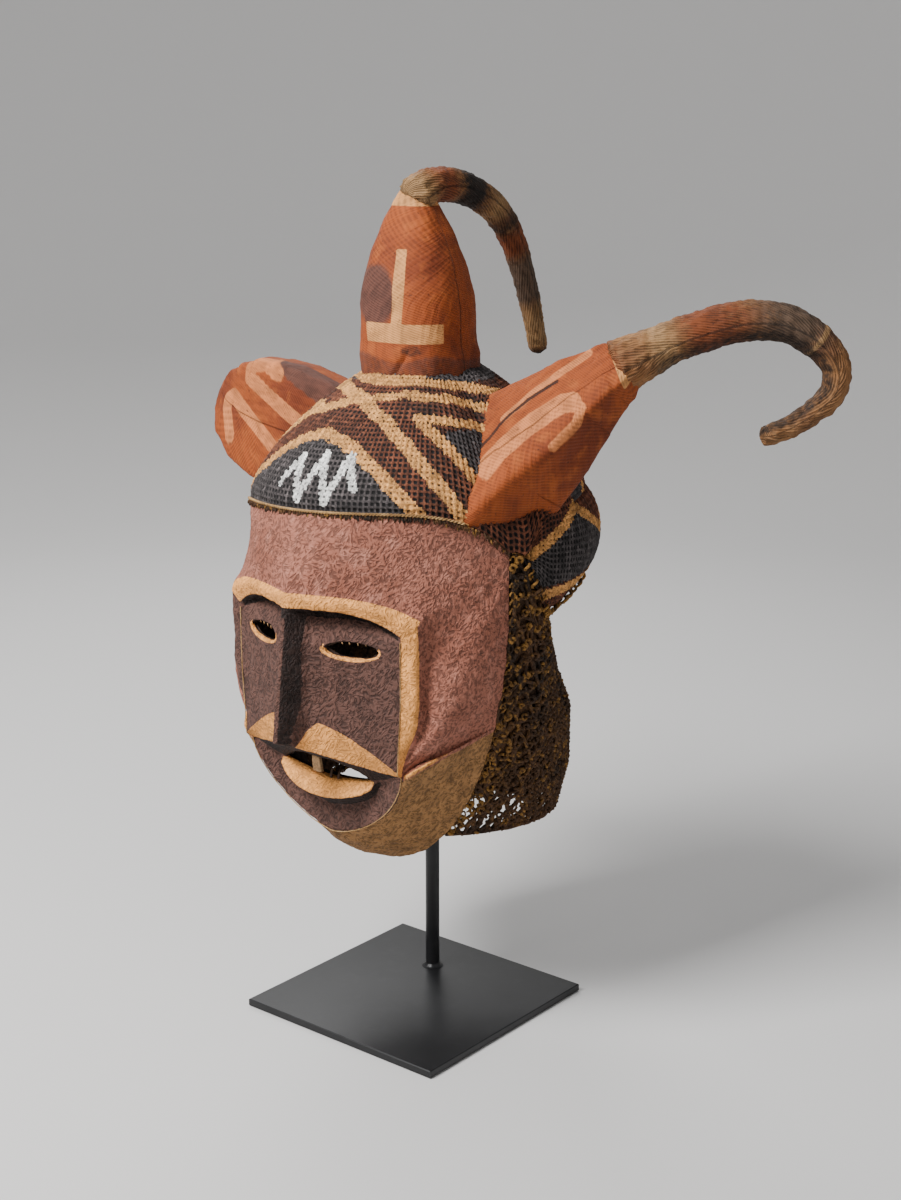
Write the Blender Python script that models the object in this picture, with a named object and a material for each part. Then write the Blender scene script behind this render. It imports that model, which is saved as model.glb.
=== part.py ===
"""A helmet mask of bark cloth, resin and knotted fibre on its display stand.

The stand is a square steel plate with a round rod.  The mask's face is a
hollow shell with a projecting brow, a long nose, slit eyes, an open mouth and
a round chin plate.  A woven cap with a rolled back edge sits on it, a knotted
net closes the back, and three cloth lobes stand on the cap, two of them
drawn out into curled horns.

Metres, +Z up.  The origin is the centre of the plate's underside, the mask
looks along -Y, and +X is its left as a wearer has it.
"""

import math

import bmesh
import bpy
from mathutils import Vector

# Stand
PLATE_SIDE = 0.200
PLATE_THICKNESS = 0.0065
PLATE_CHAMFER = 0.0007
ROD_DIAMETER = 0.012
ROD_X = -0.0212
ROD_Y = 0.0487
WELD_WIDTH = 0.0035
WELD_HEIGHT = 0.0030

# Mask as a whole: the head is round, and its axis stands a little before the rod
HEAD_RADIUS = 0.147
HEAD_BEFORE_ROD = 0.0037
CHIN_HEIGHT = 0.132

# Walls and gaps
FACE_WALL = 0.0055
CAP_WALL = 0.0050
NET_WALL = 0.0040
CORD_DIAMETER = 0.0024
GAP = 0.0003

# Lobes and horns
TOP_LOBE_HEIGHT = 0.154
TOP_LOBE_RADIUS = 0.0445
SIDE_LOBE_GIRTH = 0.052
TOP_HORN_RADIUS = 0.0150
SIDE_HORN_RADIUS = 0.0160

# The carving is written in millimetres of a head of this radius
DRAWN_RADIUS = 147.0
MM = HEAD_RADIUS / DRAWN_RADIUS
HEAD_X = ROD_X
HEAD_Y = ROD_Y - HEAD_BEFORE_ROD

# Heights above the chin and distances from the head's axis, in those millimetres
BACK_FORWARD = 65.0
BACK_HALF_WIDTH = 132.0
BACK_CENTRE_HEIGHT = 238.0
BACK_TOP_HEIGHT = 277.0
HEM_HEIGHT = 305.5
HEM_TILT = 8.6
CROWN_HEIGHT = 421.0
BACK_CAP_RADIUS = 140.0
TUCK_RADIUS = 91.7
ROLL_HEIGHT = 270.0
ROLL_HALF_HEIGHT = 45.0
SHOULDER_HEIGHT = ROLL_HEIGHT + 34.5
RIM_HEIGHT = 33.0
BROW_HEIGHT = 235.5
BAND_HEIGHT = 12.5
PANEL_HALF = 85.0
MOUTH_HALF = 80.5
MOUTH_HEIGHT = 104.0
CHIN_DISC_DROP = 65.0
EYE_INNER = 25.0
EYE_OUTER = 68.0
EYE_HEIGHT = 204.8
OPENING_HALF = 46.0
LIP_HALF = 51.0
NOSE_HALF = 2.5
NOSE_FOOT = 12.5

CORNER_ANGLE = math.degrees(math.asin(BACK_FORWARD / DRAWN_RADIUS))
EDGE_ANGLE = 90.0 - CORNER_ANGLE
RIDGE_ANGLE = 64.4

# Shares of the half width at which the face's columns stand
COLUMNS = (0.0, 0.0284, 0.142, 0.235, EYE_INNER / PANEL_HALF, 0.42,
           OPENING_HALF / MOUTH_HALF, 0.68, EYE_OUTER / PANEL_HALF, 0.88, 1.0)
MOUTH_COLUMN = 6
EYE_COLUMNS = (4, 8)
RING_STEPS = (0.12, 0.30, 0.50, 0.75, 1.0)

FINISHES = {
    "bark_cloth": ((0.235, 0.118, 0.092), 0.85, 0.0),
    "woven_cap": ((0.190, 0.095, 0.055), 0.85, 0.0),
    "net": ((0.055, 0.028, 0.012), 0.90, 0.0),
    "lobe_cloth": ((0.360, 0.115, 0.040), 0.80, 0.0),
    "horn_cloth": ((0.210, 0.090, 0.048), 0.80, 0.0),
    "cord": ((0.430, 0.270, 0.110), 0.80, 0.0),
    "tooth": ((0.450, 0.270, 0.130), 0.75, 0.0),
    "black_steel": ((0.012, 0.012, 0.013), 0.38, 0.9),
}


def clear_scene():
    for old in list(bpy.data.objects):
        bpy.data.objects.remove(old, do_unlink=True)


def finish(name):
    """Return the named material, made on its first use."""
    known = bpy.data.materials.get(name)
    if known:
        return known
    colour, roughness, metallic = FINISHES[name]
    made = bpy.data.materials.new(name)
    made.use_nodes = True
    shader = made.node_tree.nodes["Principled BSDF"]
    shader.inputs["Base Color"].default_value = (*colour, 1.0)
    shader.inputs["Roughness"].default_value = roughness
    shader.inputs["Metallic"].default_value = metallic
    made.diffuse_color = (*colour, 1.0)
    return made


def smooth(x):
    """Ease from 0 to 1 as x goes from 0 to 1."""
    x = min(max(x, 0.0), 1.0)
    return x * x * (3.0 - 2.0 * x)


def mix(a, b, t):
    return a + (b - a) * t


def at(across, forward, height):
    """Place a point given in the head's millimetres."""
    return Vector((HEAD_X + across * MM, HEAD_Y - forward * MM,
                   CHIN_HEIGHT + height * MM))


def around(angle, radius, height):
    """Place a point by its angle from the front, in degrees, and its radius."""
    turn = math.radians(angle)
    return at(radius * math.sin(turn), radius * math.cos(turn), height)


def add_object(name, points, faces, slot):
    """Make an object of the points and faces, joining points that coincide."""
    mesh = bpy.data.meshes.new(name)
    body = bmesh.new()
    known = {}
    verts = []
    for point in points:
        key = tuple(round(value, 6) for value in point)
        if key not in known:
            known[key] = body.verts.new(point)
        verts.append(known[key])
    for face in faces:
        ring = []
        for index in face:
            if verts[index] not in ring:
                ring.append(verts[index])
        if len(ring) > 2 and body.faces.get(ring) is None:
            body.faces.new(ring)
    for vert in [v for v in body.verts if not v.link_faces]:
        body.verts.remove(vert)
    bmesh.ops.recalc_face_normals(body, faces=body.faces[:])
    bmesh.ops.triangulate(body, faces=[f for f in body.faces if len(f.verts) > 3])
    if body.calc_volume(signed=True) < 0.0:
        bmesh.ops.reverse_faces(body, faces=body.faces[:])
    body.to_mesh(mesh)
    body.free()
    mesh.shade_smooth()
    mesh.set_sharp_from_angle(angle=math.radians(40.0))
    made = bpy.data.objects.new(name, mesh)
    made.data.materials.append(finish(slot))
    bpy.context.scene.collection.objects.link(made)
    return made


def loft(rings, closed_start=True, closed_end=True):
    """Join rings of equal length, with a face over each closed end."""
    count = len(rings[0])
    points = [point for ring in rings for point in ring]
    faces = []
    for row in range(len(rings) - 1):
        for k in range(count):
            n = (k + 1) % count
            faces.append((row * count + k, row * count + n,
                          (row + 1) * count + n, (row + 1) * count + k))
    if closed_start:
        faces.append(tuple(range(count)))
    if closed_end:
        faces.append(tuple((len(rings) - 1) * count + k for k in range(count)))
    return points, faces


def cut(target, cutter):
    """Take the cutter away from the target and hide it."""
    step = target.modifiers.new("cut_" + cutter.name, "BOOLEAN")
    step.operation = "DIFFERENCE"
    step.solver = "EXACT"
    step.object = cutter
    cutter.hide_render = True
    cutter.display_type = "WIRE"


# Stand

def base_plate():
    half = PLATE_SIDE / 2
    inner = half - PLATE_CHAMFER
    rings = []
    for side, height in ((inner, 0.0), (half, PLATE_CHAMFER),
                         (half, PLATE_THICKNESS - PLATE_CHAMFER),
                         (inner, PLATE_THICKNESS)):
        rings.append([Vector((x * side, y * side, height))
                      for x, y in ((-1, -1), (1, -1), (1, 1), (-1, 1))])
    add_object("base_plate", *loft(rings), "black_steel")


def stand_rod():
    """The rod, from its weld bead up to the crown of the cap."""
    radius = ROD_DIAMETER / 2
    foot = PLATE_THICKNESS + GAP
    behind = HEAD_BEFORE_ROD / MM
    crown = cap_point(180.0, 0.0).z
    slope = cap_point(180.0, cap_share(behind + radius / MM)).z
    top = min(crown, slope) - CAP_WALL - 5 * GAP
    rings = []
    for r, z in ((radius + WELD_WIDTH, foot), (radius + 0.45 * WELD_WIDTH, foot + 0.35 * WELD_HEIGHT),
                 (radius, foot + WELD_HEIGHT), (radius, top - 0.2 * radius), (0.8 * radius, top)):
        rings.append([Vector((ROD_X + r * math.cos(math.tau * k / 24),
                              ROD_Y + r * math.sin(math.tau * k / 24), z)) for k in range(24)])
    add_object("stand_rod", *loft(rings), "black_steel")


# Face: outlines that its rows and columns follow

def brow_lip(share):
    """The brow's lower edge, from the middle out to the panel's corner."""
    across = PANEL_HALF * share
    return across, 176.0 - 0.45 * across, BROW_HEIGHT - 17.5 * share ** 4


def panel_forward(across):
    """The panel is folded along the nose, like an open book."""
    return 170.0 - 0.38 * abs(across)


def disc_outline(share):
    """The round chin plate's edge, from the bottom up to the mouth's corner."""
    drop = (1.0 - share ** 1.6) ** (1.0 / 1.6) if share < 1.0 else 0.0
    return MOUTH_HALF * share, 124.0 + 8.0 * share ** 3, MOUTH_HEIGHT - CHIN_DISC_DROP * drop


def back_edge(angle):
    """The shell's back edge, by the angle from the chin around the side."""
    turn = math.radians(angle)
    return (BACK_HALF_WIDTH * math.sin(turn), BACK_FORWARD,
            BACK_CENTRE_HEIGHT * (1.0 - math.cos(turn)))


def back_half_width(height):
    """The back edge's half width at a height above the chin."""
    fall = max(BACK_CENTRE_HEIGHT - height, 0.0) / BACK_CENTRE_HEIGHT
    return BACK_HALF_WIDTH * math.sqrt(max(1.0 - fall * fall, 0.0))


def hem_height(angle):
    """The hem runs nearly level, a little higher on the right, and falls to the ears."""
    fall = min(abs(angle) / EDGE_ANGLE, 1.0) ** 5
    tilt = HEM_TILT * math.sin(math.radians(angle)) * (1.0 - fall)
    return HEM_HEIGHT - (HEM_HEIGHT - BACK_TOP_HEIGHT) * fall + tilt


def edge_half(height):
    """The panel's half width, drawn in to the mouth's corner."""
    return MOUTH_HALF + (PANEL_HALF - MOUTH_HALF) * smooth((height - MOUTH_HEIGHT) / 50.0)


def eye_lens(across):
    """Half the eye's opening: 0 at its corners, negative outside them."""
    middle = 0.5 * (EYE_INNER + EYE_OUTER)
    x = (abs(across) - middle) / (EYE_OUTER - middle)
    return math.sqrt(max(1.0 - x * x, 0.0)) if abs(x) < 1.0 else 1.0 - abs(x)


def nose_forward(height):
    return 176.0 + 13.0 * (BROW_HEIGHT - height) / 105.5


def with_nose(across, forward, height):
    """Raise the long wedge of the nose over the panel."""
    if across >= NOSE_FOOT:
        return forward
    flank = min(max((across - NOSE_HALF) / (NOSE_FOOT - NOSE_HALF), 0.0), 1.0)
    return mix(nose_forward(height), forward, flank)


def mouth_line(share):
    """Height of the line on which the lips meet the chin plate."""
    start = OPENING_HALF / MOUTH_HALF
    return 93.2 + (MOUTH_HEIGHT - 93.2) * smooth((share - start) / (1.0 - start))


def face_row(row, share):
    """One key row of the face's middle: its front point and its wall's back.

    The rows run from the brow's lip, 0, down to the chin plate's edge, 11.
    """
    wall = FACE_WALL / MM
    if row <= 4:
        across = PANEL_HALF * share
        lip_across, lip_forward, lip_height = brow_lip(share)
        plain = panel_forward(max(across, NOSE_FOOT))
        if row == 0:
            depth = 17.0 * (1.0 - share ** 4)
            return (across, lip_forward, lip_height), lip_forward - depth - wall
        if row == 1:
            height = lip_height - 3.0
            forward = brow_lip(max(share, 0.142))[1] - 17.0 * (1.0 - share ** 4)
            return (across, with_nose(across, forward, height), height), forward - wall
        lens = eye_lens(across)
        if row == 2:
            height = EYE_HEIGHT + (5.8 * lens if lens > 0.0 else -6.0 * lens)
        elif row == 3:
            height = EYE_HEIGHT - (6.8 * lens if lens > 0.0 else -6.0 * lens)
        else:
            height = 165.0
        hollow = (1.0 + 2.0 * max(lens, 0.0), 1.0, 2.0)[row - 2]
        forward = plain - hollow * math.sin(math.pi * share)
        return (across, with_nose(across, forward, height), height), forward - wall
    if row == 5:
        across = mix(MOUTH_HALF, 81.5, share) * share
        apex = 20.5
        if across < apex:
            height = 144.5 - 14.5 * min((apex - across) / 14.5, 1.0)
        else:
            height = 144.5 - 36.0 * ((across - apex) / (81.5 - apex)) ** 1.4
        forward = panel_forward(max(across, NOSE_FOOT)) + 1.0 - 2.0 * share
        return (across, with_nose(across, forward, 130.0), height), forward - wall - 1.0
    across = MOUTH_HALF * share
    rest = (1.0 - share) ** 1.5
    if row == 6:
        return (across, 132.0 + 41.0 * rest, MOUTH_HEIGHT + 20.0 * rest), 126.5 + 24.0 * rest
    start = OPENING_HALF / MOUTH_HALF
    middle = mouth_line(share)
    side = 1.0 - share
    if share < start:
        bow = 1.0 - (share / start) ** 2
        if row == 7:
            return (across, 129.0 + 16.0 * bow, middle + 16.0 * bow ** 0.8), 123.5 + 12.0 * bow
        if row == 8:
            return (across, 129.0 + 6.5 * bow, middle - 4.0 * bow), 123.0 + 1.0 * bow
    outward = 129.0 + 3.0 * smooth((share - start) / (1.0 - start))
    if row == 7:
        return (across, outward, middle + 5.0 * (share - start) * side), outward - wall
    if row == 8:
        return (across, outward, middle - 5.0 * (share - start) * side), outward - wall
    lip = LIP_HALF / MOUTH_HALF
    if row in (9, 10):
        if share < lip:
            bow = 1.0 - (share / lip) ** 2
            height = 93.0 - 18.0 * math.sqrt(bow)
            forward = 131.0 + 13.0 * bow
        else:
            height = MOUTH_HEIGHT - 30.0 * side
            forward = outward - 1.0 * side
        if row == 10:
            height -= 11.0 * side
            forward = mix(125.5, forward, smooth((share - 0.55) / 0.45))
        return (across, forward, height), mix(119.5, 126.5, share ** 3)
    across, forward, height = disc_outline(share)
    return (across, forward, height), mix(118.0, 126.5, share ** 3)


def band_point(share):
    """The top of the band over the brow."""
    across, forward, height = brow_lip(share)
    return across * 1.18, forward - 4.0 - 4.5 * share ** 4, height + BAND_HEIGHT + 3.5 * share ** 4


def band_middle(share):
    """The middle of the band, from the brow's middle out to its corner."""
    across, forward, height = brow_lip(share)
    return across * 1.15, forward + 0.5 - 2.0 * share ** 4, height + 0.6 * BAND_HEIGHT


def strip_edge(height):
    """The outer edge of the strip beside the panel."""
    grown = smooth((height - MOUTH_HEIGHT) / 70.0)
    rise = smooth((height - 205.0) / 13.0)
    return (edge_half(height) + 12.75 * grown, 132.0 + 3.0 * grown, height + 7.5 * rise)


def strip_foot(height):
    """The crease behind the strip, where the cheek begins."""
    grown = smooth((height - MOUTH_HEIGHT) / 50.0)
    rise = smooth((height - 203.0) / 15.0)
    return (mix(edge_half(height) + 12.5 * grown, 100.3, rise),
            mix(132.0 - 11.5 * grown, 129.3, rise), height + 16.0 * rise)


def bulged(start, end, share, bulge, skew=1.0):
    """A point on the way from start to end, pushed out by the bulge vector."""
    lift = 4.0 * share ** skew * (1.0 - share ** skew)
    return tuple(mix(a, b, share) + push * lift
                 for a, b, push in zip(start, end, bulge))


def ring_line(kind, value, sign):
    """The way from the panel's edge out to the shell's edge.

    Returns the rim's outer edge, the foot behind it, the outer end and the
    bulge from foot to end.
    """
    if kind == "disc":
        across, forward, height = disc_outline(value)
        rim = (across, mix(forward - 2.0, forward, value ** 6), height)
        foot = (across, mix(forward - 4.5, forward, value ** 6), height + 0.5 * (1 - value))
        end = back_edge(RIDGE_ANGLE * value)
        swell = mix(7.0, 1.0, smooth(value / 0.85))
        ridge = smooth((value - 0.88) / 0.12)
        bulge = (mix(0.5 * swell * value, 8.0, ridge), 0.4 * swell * (1 - ridge),
                 mix(-swell * (1 - value), 6.5, ridge))
        return rim, foot, end, bulge
    if kind == "side":
        share = (value - MOUTH_HEIGHT) / (218.0 - MOUTH_HEIGHT)
        foot = strip_foot(value)
        ridge_end = back_edge(RIDGE_ANGLE)
        height = mix(ridge_end[2], BACK_TOP_HEIGHT, share)
        end = (back_half_width(height), BACK_FORWARD, height)
        near = 1.0 - smooth(share / 0.22)
        cheek = 6.0 + 5.0 * math.sin(math.pi * min(share / 0.8, 1.0)) - 8.0 * smooth((share - 0.72) / 0.28)
        bulge = (mix(cheek, 8.0, near), 0.8 * cheek * (1 - near), 6.5 * near)
        return strip_edge(value), foot, end, bulge
    foot = band_point(value)
    angle = hem_angle(value)
    end = (DRAWN_RADIUS * math.sin(math.radians(angle)),
           DRAWN_RADIUS * math.cos(math.radians(angle)), hem_height(sign * angle))
    corner = smooth((value - 0.5) / 0.5)
    return band_middle(value), foot, end, (mix(3.5 * value, -2.0, corner), mix(2.5, -1.6, corner), 0.0)


def inward(point, wall):
    """Move a point towards the middle of the head by the wall."""
    centre = Vector((0.0, 15.0, 168.0))
    way = (Vector(point) - centre).normalized()
    return tuple(Vector(point) - way * wall)


def half_loop():
    """The panel's edge as (kind, value, row, column), bottom, side and top."""
    last = len(COLUMNS) - 1
    loop = [("disc", COLUMNS[c], 11, c) for c in range(last + 1)]
    loop += [("side", face_row(row, 1.0)[0][2], row, last) for row in (5, 4, 3, 2, 1)]
    loop += [("top", COLUMNS[c], 0, c) for c in range(last, -1, -1)]
    return loop


def face_shell():
    """The hollow face: a middle of rows and columns, and a ring around it."""
    last = len(COLUMNS) - 1
    wall = FACE_WALL / MM
    points = []
    index = {}

    def put(key, point):
        index[key] = len(points)
        points.append(at(*point))

    sides = (-1, 1)
    for sign in sides:
        for row in range(12):
            for column, share in enumerate(COLUMNS):
                front, back = face_row(row, share)
                put((sign, "f", row, column), (sign * front[0], front[1], front[2]))
                draw = mix(0.96, 1.0, share ** 4) if row == 11 else 1.0
                lift = 3.0 * (1.0 - share) if row == 11 else 0.0
                put((sign, "b", row, column),
                    (sign * front[0] * draw, back, front[2] + lift))
        for k, (kind, value, row, column) in enumerate(half_loop()):
            rim, foot, end, bulge = ring_line(kind, value, sign)
            front, back = face_row(row, COLUMNS[column])
            inner_rim = (mix(front[0], foot[0], 0.3), mix(back, foot[1] - wall, 0.3),
                         mix(front[2], foot[2], 0.3))
            put((sign, "rf", k, 0), (sign * rim[0], rim[1], rim[2]))
            put((sign, "rb", k, 0), (sign * inner_rim[0], inner_rim[1], inner_rim[2]))
            near = inward(foot, wall * 1.1)
            put((sign, "rf", k, 1), (sign * foot[0], foot[1], foot[2]))
            put((sign, "rb", k, 1), (sign * near[0], near[1], near[2]))
            for step, share in enumerate(RING_STEPS, start=2):
                skew = 0.62 if kind != "top" else 1.0
                out = bulged(foot, end, share, bulge, skew)
                put((sign, "rf", k, step), (sign * out[0], out[1], out[2]))
                near = inward(out, wall)
                if share == 1.0 and kind == "top":
                    thin = 1.0 - wall / DRAWN_RADIUS
                    near = (out[0] * thin, out[1] * thin, out[2])
                else:
                    level = BACK_FORWARD if share == 1.0 else max(near[1], BACK_FORWARD)
                    near = (near[0], level, near[2])
                put((sign, "rb", k, step), (sign * near[0], near[1], near[2]))

    faces = []

    def quad(a, b, c, d):
        faces.append((index[a], index[b], index[c], index[d]))

    for sign in sides:
        for row in range(11):
            for column in range(last):
                eye = row == 2 and EYE_COLUMNS[0] <= column < EYE_COLUMNS[1]
                mouth = row == 7 and column < MOUTH_COLUMN
                corners = ((row, column), (row, column + 1), (row + 1, column + 1), (row + 1, column))
                if eye or mouth:
                    for top in (row, row + 1):
                        quad((sign, "f", top, column), (sign, "f", top, column + 1),
                             (sign, "b", top, column + 1), (sign, "b", top, column))
                    continue
                for layer in ("f", "b"):
                    quad(*((sign, layer, r, c) for r, c in corners))
        loop = half_loop()
        for k in range(len(loop) - 1):
            ends = [(loop[k][2], loop[k][3]), (loop[k + 1][2], loop[k + 1][3])]
            for middle, ring in (("f", "rf"), ("b", "rb")):
                quad((sign, middle, *ends[0]), (sign, middle, *ends[1]),
                     (sign, ring, k + 1, 0), (sign, ring, k, 0))
                for step in range(len(RING_STEPS) + 1):
                    quad((sign, ring, k, step), (sign, ring, k + 1, step),
                         (sign, ring, k + 1, step + 1), (sign, ring, k, step + 1))
            edge = len(RING_STEPS) + 1
            quad((sign, "rf", k, edge), (sign, "rf", k + 1, edge),
                 (sign, "rb", k + 1, edge), (sign, "rb", k, edge))
    add_object("face_shell", points, faces, "bark_cloth")


def tooth():
    """The one broad tooth, standing in the mouth's opening on its lower side."""
    wide, deep = 5.0, 4.0
    rings = []
    for height, width, forward in ((89.6 + 0.5, wide, 131.5), (96.0, wide * 0.96, 132.2),
                                   (104.0, wide * 0.80, 133.5)):
        rings.append([at(x * width - 8.0, forward + y * deep, height)
                      for x, y in ((-1, -1), (1, -1), (1, 1), (-1, 1))])
    add_object("tooth", *loft(rings), "tooth")


# Cap

def cap_share(radius):
    """The share of the way from the crown to the hem at which the dome has a radius."""
    return 0.75 * math.asin(min((radius / 135.0) ** 0.7, 1.0)) / (math.pi / 2)


def dome(share, radius, low, high):
    """A superellipse from the crown, share 0, down to the shoulder, share 1."""
    turn = math.pi / 2 * share
    power = 2.0 / 1.4
    return radius * math.sin(turn) ** power, low + (high - low) * max(math.cos(turn), 0.0) ** power


def cap_section(angle, share):
    """Radius and height on the cap's outside, in the head's millimetres."""
    rolled = smooth((abs(angle) - EDGE_ANGLE - 1.5) / 16.0)
    tucked = smooth((abs(angle) - EDGE_ANGLE) / 54.0)
    bulge_radius = mix(DRAWN_RADIUS, BACK_CAP_RADIUS, tucked)
    reach = (bulge_radius - mix(DRAWN_RADIUS, TUCK_RADIUS, tucked)) / 1.342
    middle = bulge_radius - reach
    top = min(share / 0.75, 1.0)
    low = max(share - 0.75, 0.0) / 0.25
    hem = hem_height(angle)
    front_r, front_z = dome(top, DRAWN_RADIUS, hem + 8.0, CROWN_HEIGHT)
    front_z -= 8.0 * low
    if low == 0.0:
        shoulder = middle + reach * math.cos(math.radians(50.0))
        back_r, back_z = dome(top, shoulder, SHOULDER_HEIGHT, CROWN_HEIGHT)
    else:
        turn = math.radians(mix(50.0, -110.0, low))
        back_r = middle + reach * math.cos(turn)
        back_z = ROLL_HEIGHT + ROLL_HALF_HEIGHT * math.sin(turn)
    return mix(front_r, back_r, rolled), mix(front_z, back_z, rolled)


def cap_point(angle, share, inset=0.0):
    """A point on the cap, moved in from its outside along its section."""
    radius, height = cap_section(angle, share)
    if share == 0.0:
        return around(angle, 0.0, CROWN_HEIGHT - inset)
    if inset:
        low = cap_section(angle, min(share + 0.01, 1.0))
        high = cap_section(angle, max(share - 0.01, 0.0))
        along = Vector((low[0] - high[0], low[1] - high[1])).normalized()
        if share == 1.0:
            along = mix(along, Vector((0.0, -1.0)), 1.0 - smooth((abs(angle) - 66.0) / 14.0))
            along.normalize()
        inner = (radius + along.y * inset, height - along.x * inset)
        if share >= 0.999:
            inner = (inner[0], height)
        radius, height = max(inner[0], 0.0), inner[1]
    return around(angle, radius, height)


CAP_SHARES = (0.0, 0.07, 0.16, 0.26, 0.36, 0.46, 0.56, 0.66, 0.75,
              0.80, 0.85, 0.90, 0.95, 1.0)
INNER_SHARES = (0.0, 0.16, 0.36, 0.56, 0.75, 0.80, 0.85, 0.90, 0.95, 1.0)
BACK_STEPS = 15


def hem_angle(share):
    """The angle at which a column of the face meets the hem."""
    return EDGE_ANGLE * share ** 0.9


def cap_angles():
    """Angles all round the head: the face's columns in front, even steps behind."""
    front = [hem_angle(share) for share in COLUMNS[2:]]
    back = [mix(EDGE_ANGLE, 180.0, k / BACK_STEPS) for k in range(1, BACK_STEPS)]
    half = front + back
    return [-angle for angle in half[::-1]] + [0.0] + half + [180.0]


def cap():
    """The woven cap: a domed shell, rolled outward round the back."""
    wall = CAP_WALL / MM
    outer = [[cap_point(angle, share) for angle in cap_angles()] for share in CAP_SHARES]
    inner = [[cap_point(angle, share, wall) for angle in cap_angles()] for share in INNER_SHARES]
    rings = outer + inner[::-1]
    lifted = [[point + Vector((0, 0, GAP)) for point in ring] for ring in rings]
    add_object("cap", *loft(lifted), "woven_cap")


def cap_cutter():
    """The cap's outside with its gap, carried on below the hem, for what sits on it."""
    spread = -GAP / MM * 1.5
    rings = [[cap_point(angle, share, spread) + Vector((0, 0, GAP))
              for angle in cap_angles()] for share in CAP_SHARES]
    rings.append([point - Vector((0, 0, 60.0 * MM)) for point in rings[-1]])
    return add_object("cap_cutter", *loft(rings), "woven_cap")


def hem_cord():
    """The stitching cord that runs along the seam of cap and face."""
    radius = CORD_DIAMETER / 2
    rings = []
    count = 28
    reach = EDGE_ANGLE - 14.0
    for k in range(count + 1):
        angle = mix(-reach, reach, k / count)
        centre = around(angle, DRAWN_RADIUS, hem_height(angle) + 0.4)
        turn = math.radians(angle)
        out = Vector((math.sin(turn), -math.cos(turn), 0.0))
        centre += out * (radius + 3 * GAP)
        rings.append([centre + (out * math.cos(math.tau * n / 6)
                                + Vector((0, 0, 1)) * math.sin(math.tau * n / 6)) * radius
                      for n in range(6)])
    add_object("hem_cord", *loft(rings), "cord")


# Net

NET_PROFILE = ((33.0, 107.0), (72.0, 116.0), (118.0, 116.0), (145.0, 106.0),
               (178.0, 99.0), (208.0, 92.0), (230.0, 91.7))


def net_radius(height):
    """The net's radius round the back at a height above the chin."""
    for (low, r0), (high, r1) in zip(NET_PROFILE[:-1], NET_PROFILE[1:]):
        if height <= high:
            return mix(r0, r1, max(height - low, 0.0) / (high - low))
    return NET_PROFILE[-1][1]


def net_point(turn, fall, inset=0.0):
    """A point on the net: turn 0 at the face's edge to 1 at the back, fall 0 to 1."""
    plain = mix(BACK_TOP_HEIGHT, RIM_HEIGHT, fall)
    width = back_half_width(plain)
    start = math.degrees(math.atan2(width, BACK_FORWARD))
    angle = mix(start, 180.0, turn)
    top_radius, top = cap_section(max(angle, EDGE_ANGLE), 1.0)
    height = mix(top, RIM_HEIGHT, fall)
    settled = smooth((angle - start) / (118.0 - start))
    edge = math.hypot(width, BACK_FORWARD)
    plump = mix(edge, net_radius(height), settled)
    near_top = 1.0 - smooth(fall / 0.16)
    radius = mix(plump, top_radius, near_top if turn > 0.0 else 0.0)
    return angle, radius - inset, height


def net_hood():
    """The knotted net round the back, open below."""
    wall = NET_WALL / MM
    columns = [k / BACK_STEPS for k in range(BACK_STEPS + 1)]
    falls = (0.0, 0.06, 0.14, 0.24, 0.36, 0.48, 0.60, 0.72, 0.86, 1.0)
    rings = []
    sweep = [(-1, turn) for turn in columns] + [(1, turn) for turn in columns[-2::-1]]
    for layer, chosen in ((0.0, falls), (wall, falls[::-1])):
        for fall in chosen:
            ring = []
            for sign, turn in sweep:
                angle, radius, height = net_point(turn, fall, layer)
                point = around(sign * angle, radius, height)
                point.y += GAP * (1.0 - smooth(turn / 0.15))
                point.z -= GAP * (1.0 - smooth(fall / 0.06))
                ring.append(point)
            rings.append(ring)
    count = len(rings[0])
    total = len(rings)
    points = [point for ring in rings for point in ring]
    faces = []
    for row in range(total):
        below = (row + 1) % total
        for k in range(count - 1):
            faces.append((row * count + k, row * count + k + 1,
                          below * count + k + 1, below * count + k))
    half = len(falls)
    for row in range(half - 1):
        pair = total - 1 - row
        for k in (0, count - 1):
            faces.append((row * count + k, (row + 1) * count + k,
                          (pair - 1) * count + k, pair * count + k))
    add_object("net_hood", points, faces, "net")


# Lobes and horns

def soft_polygon(faces, angle, sharp=5.0):
    """Radius of a rounded polygon given by its faces' directions and distances."""
    total = 0.0
    for direction, distance in faces:
        lean = math.cos(math.radians(angle - direction))
        if lean > 0.0:
            total += (lean / distance) ** sharp
    return total ** (-1.0 / sharp)


def frames(path):
    """Directions along a path, each the mean of its two sides."""
    ways = []
    for k in range(len(path)):
        before = path[max(k - 1, 0)]
        after = path[min(k + 1, len(path) - 1)]
        ways.append((after - before).normalized())
    return ways


def curve(points, count):
    """Even samples of a smooth curve through the points."""
    samples = []
    spans = len(points) - 1
    for k in range(count + 1):
        place = spans * k / count
        i = min(int(place), spans - 1)
        t = place - i
        a = points[max(i - 1, 0)]
        b, c = points[i], points[i + 1]
        d = points[min(i + 2, spans)]
        samples.append(0.5 * ((2 * b) + (c - a) * t + (2 * a - 5 * b + 4 * c - d) * t * t
                              + (3 * b - a - 3 * c + d) * t ** 3))
    return samples


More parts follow.
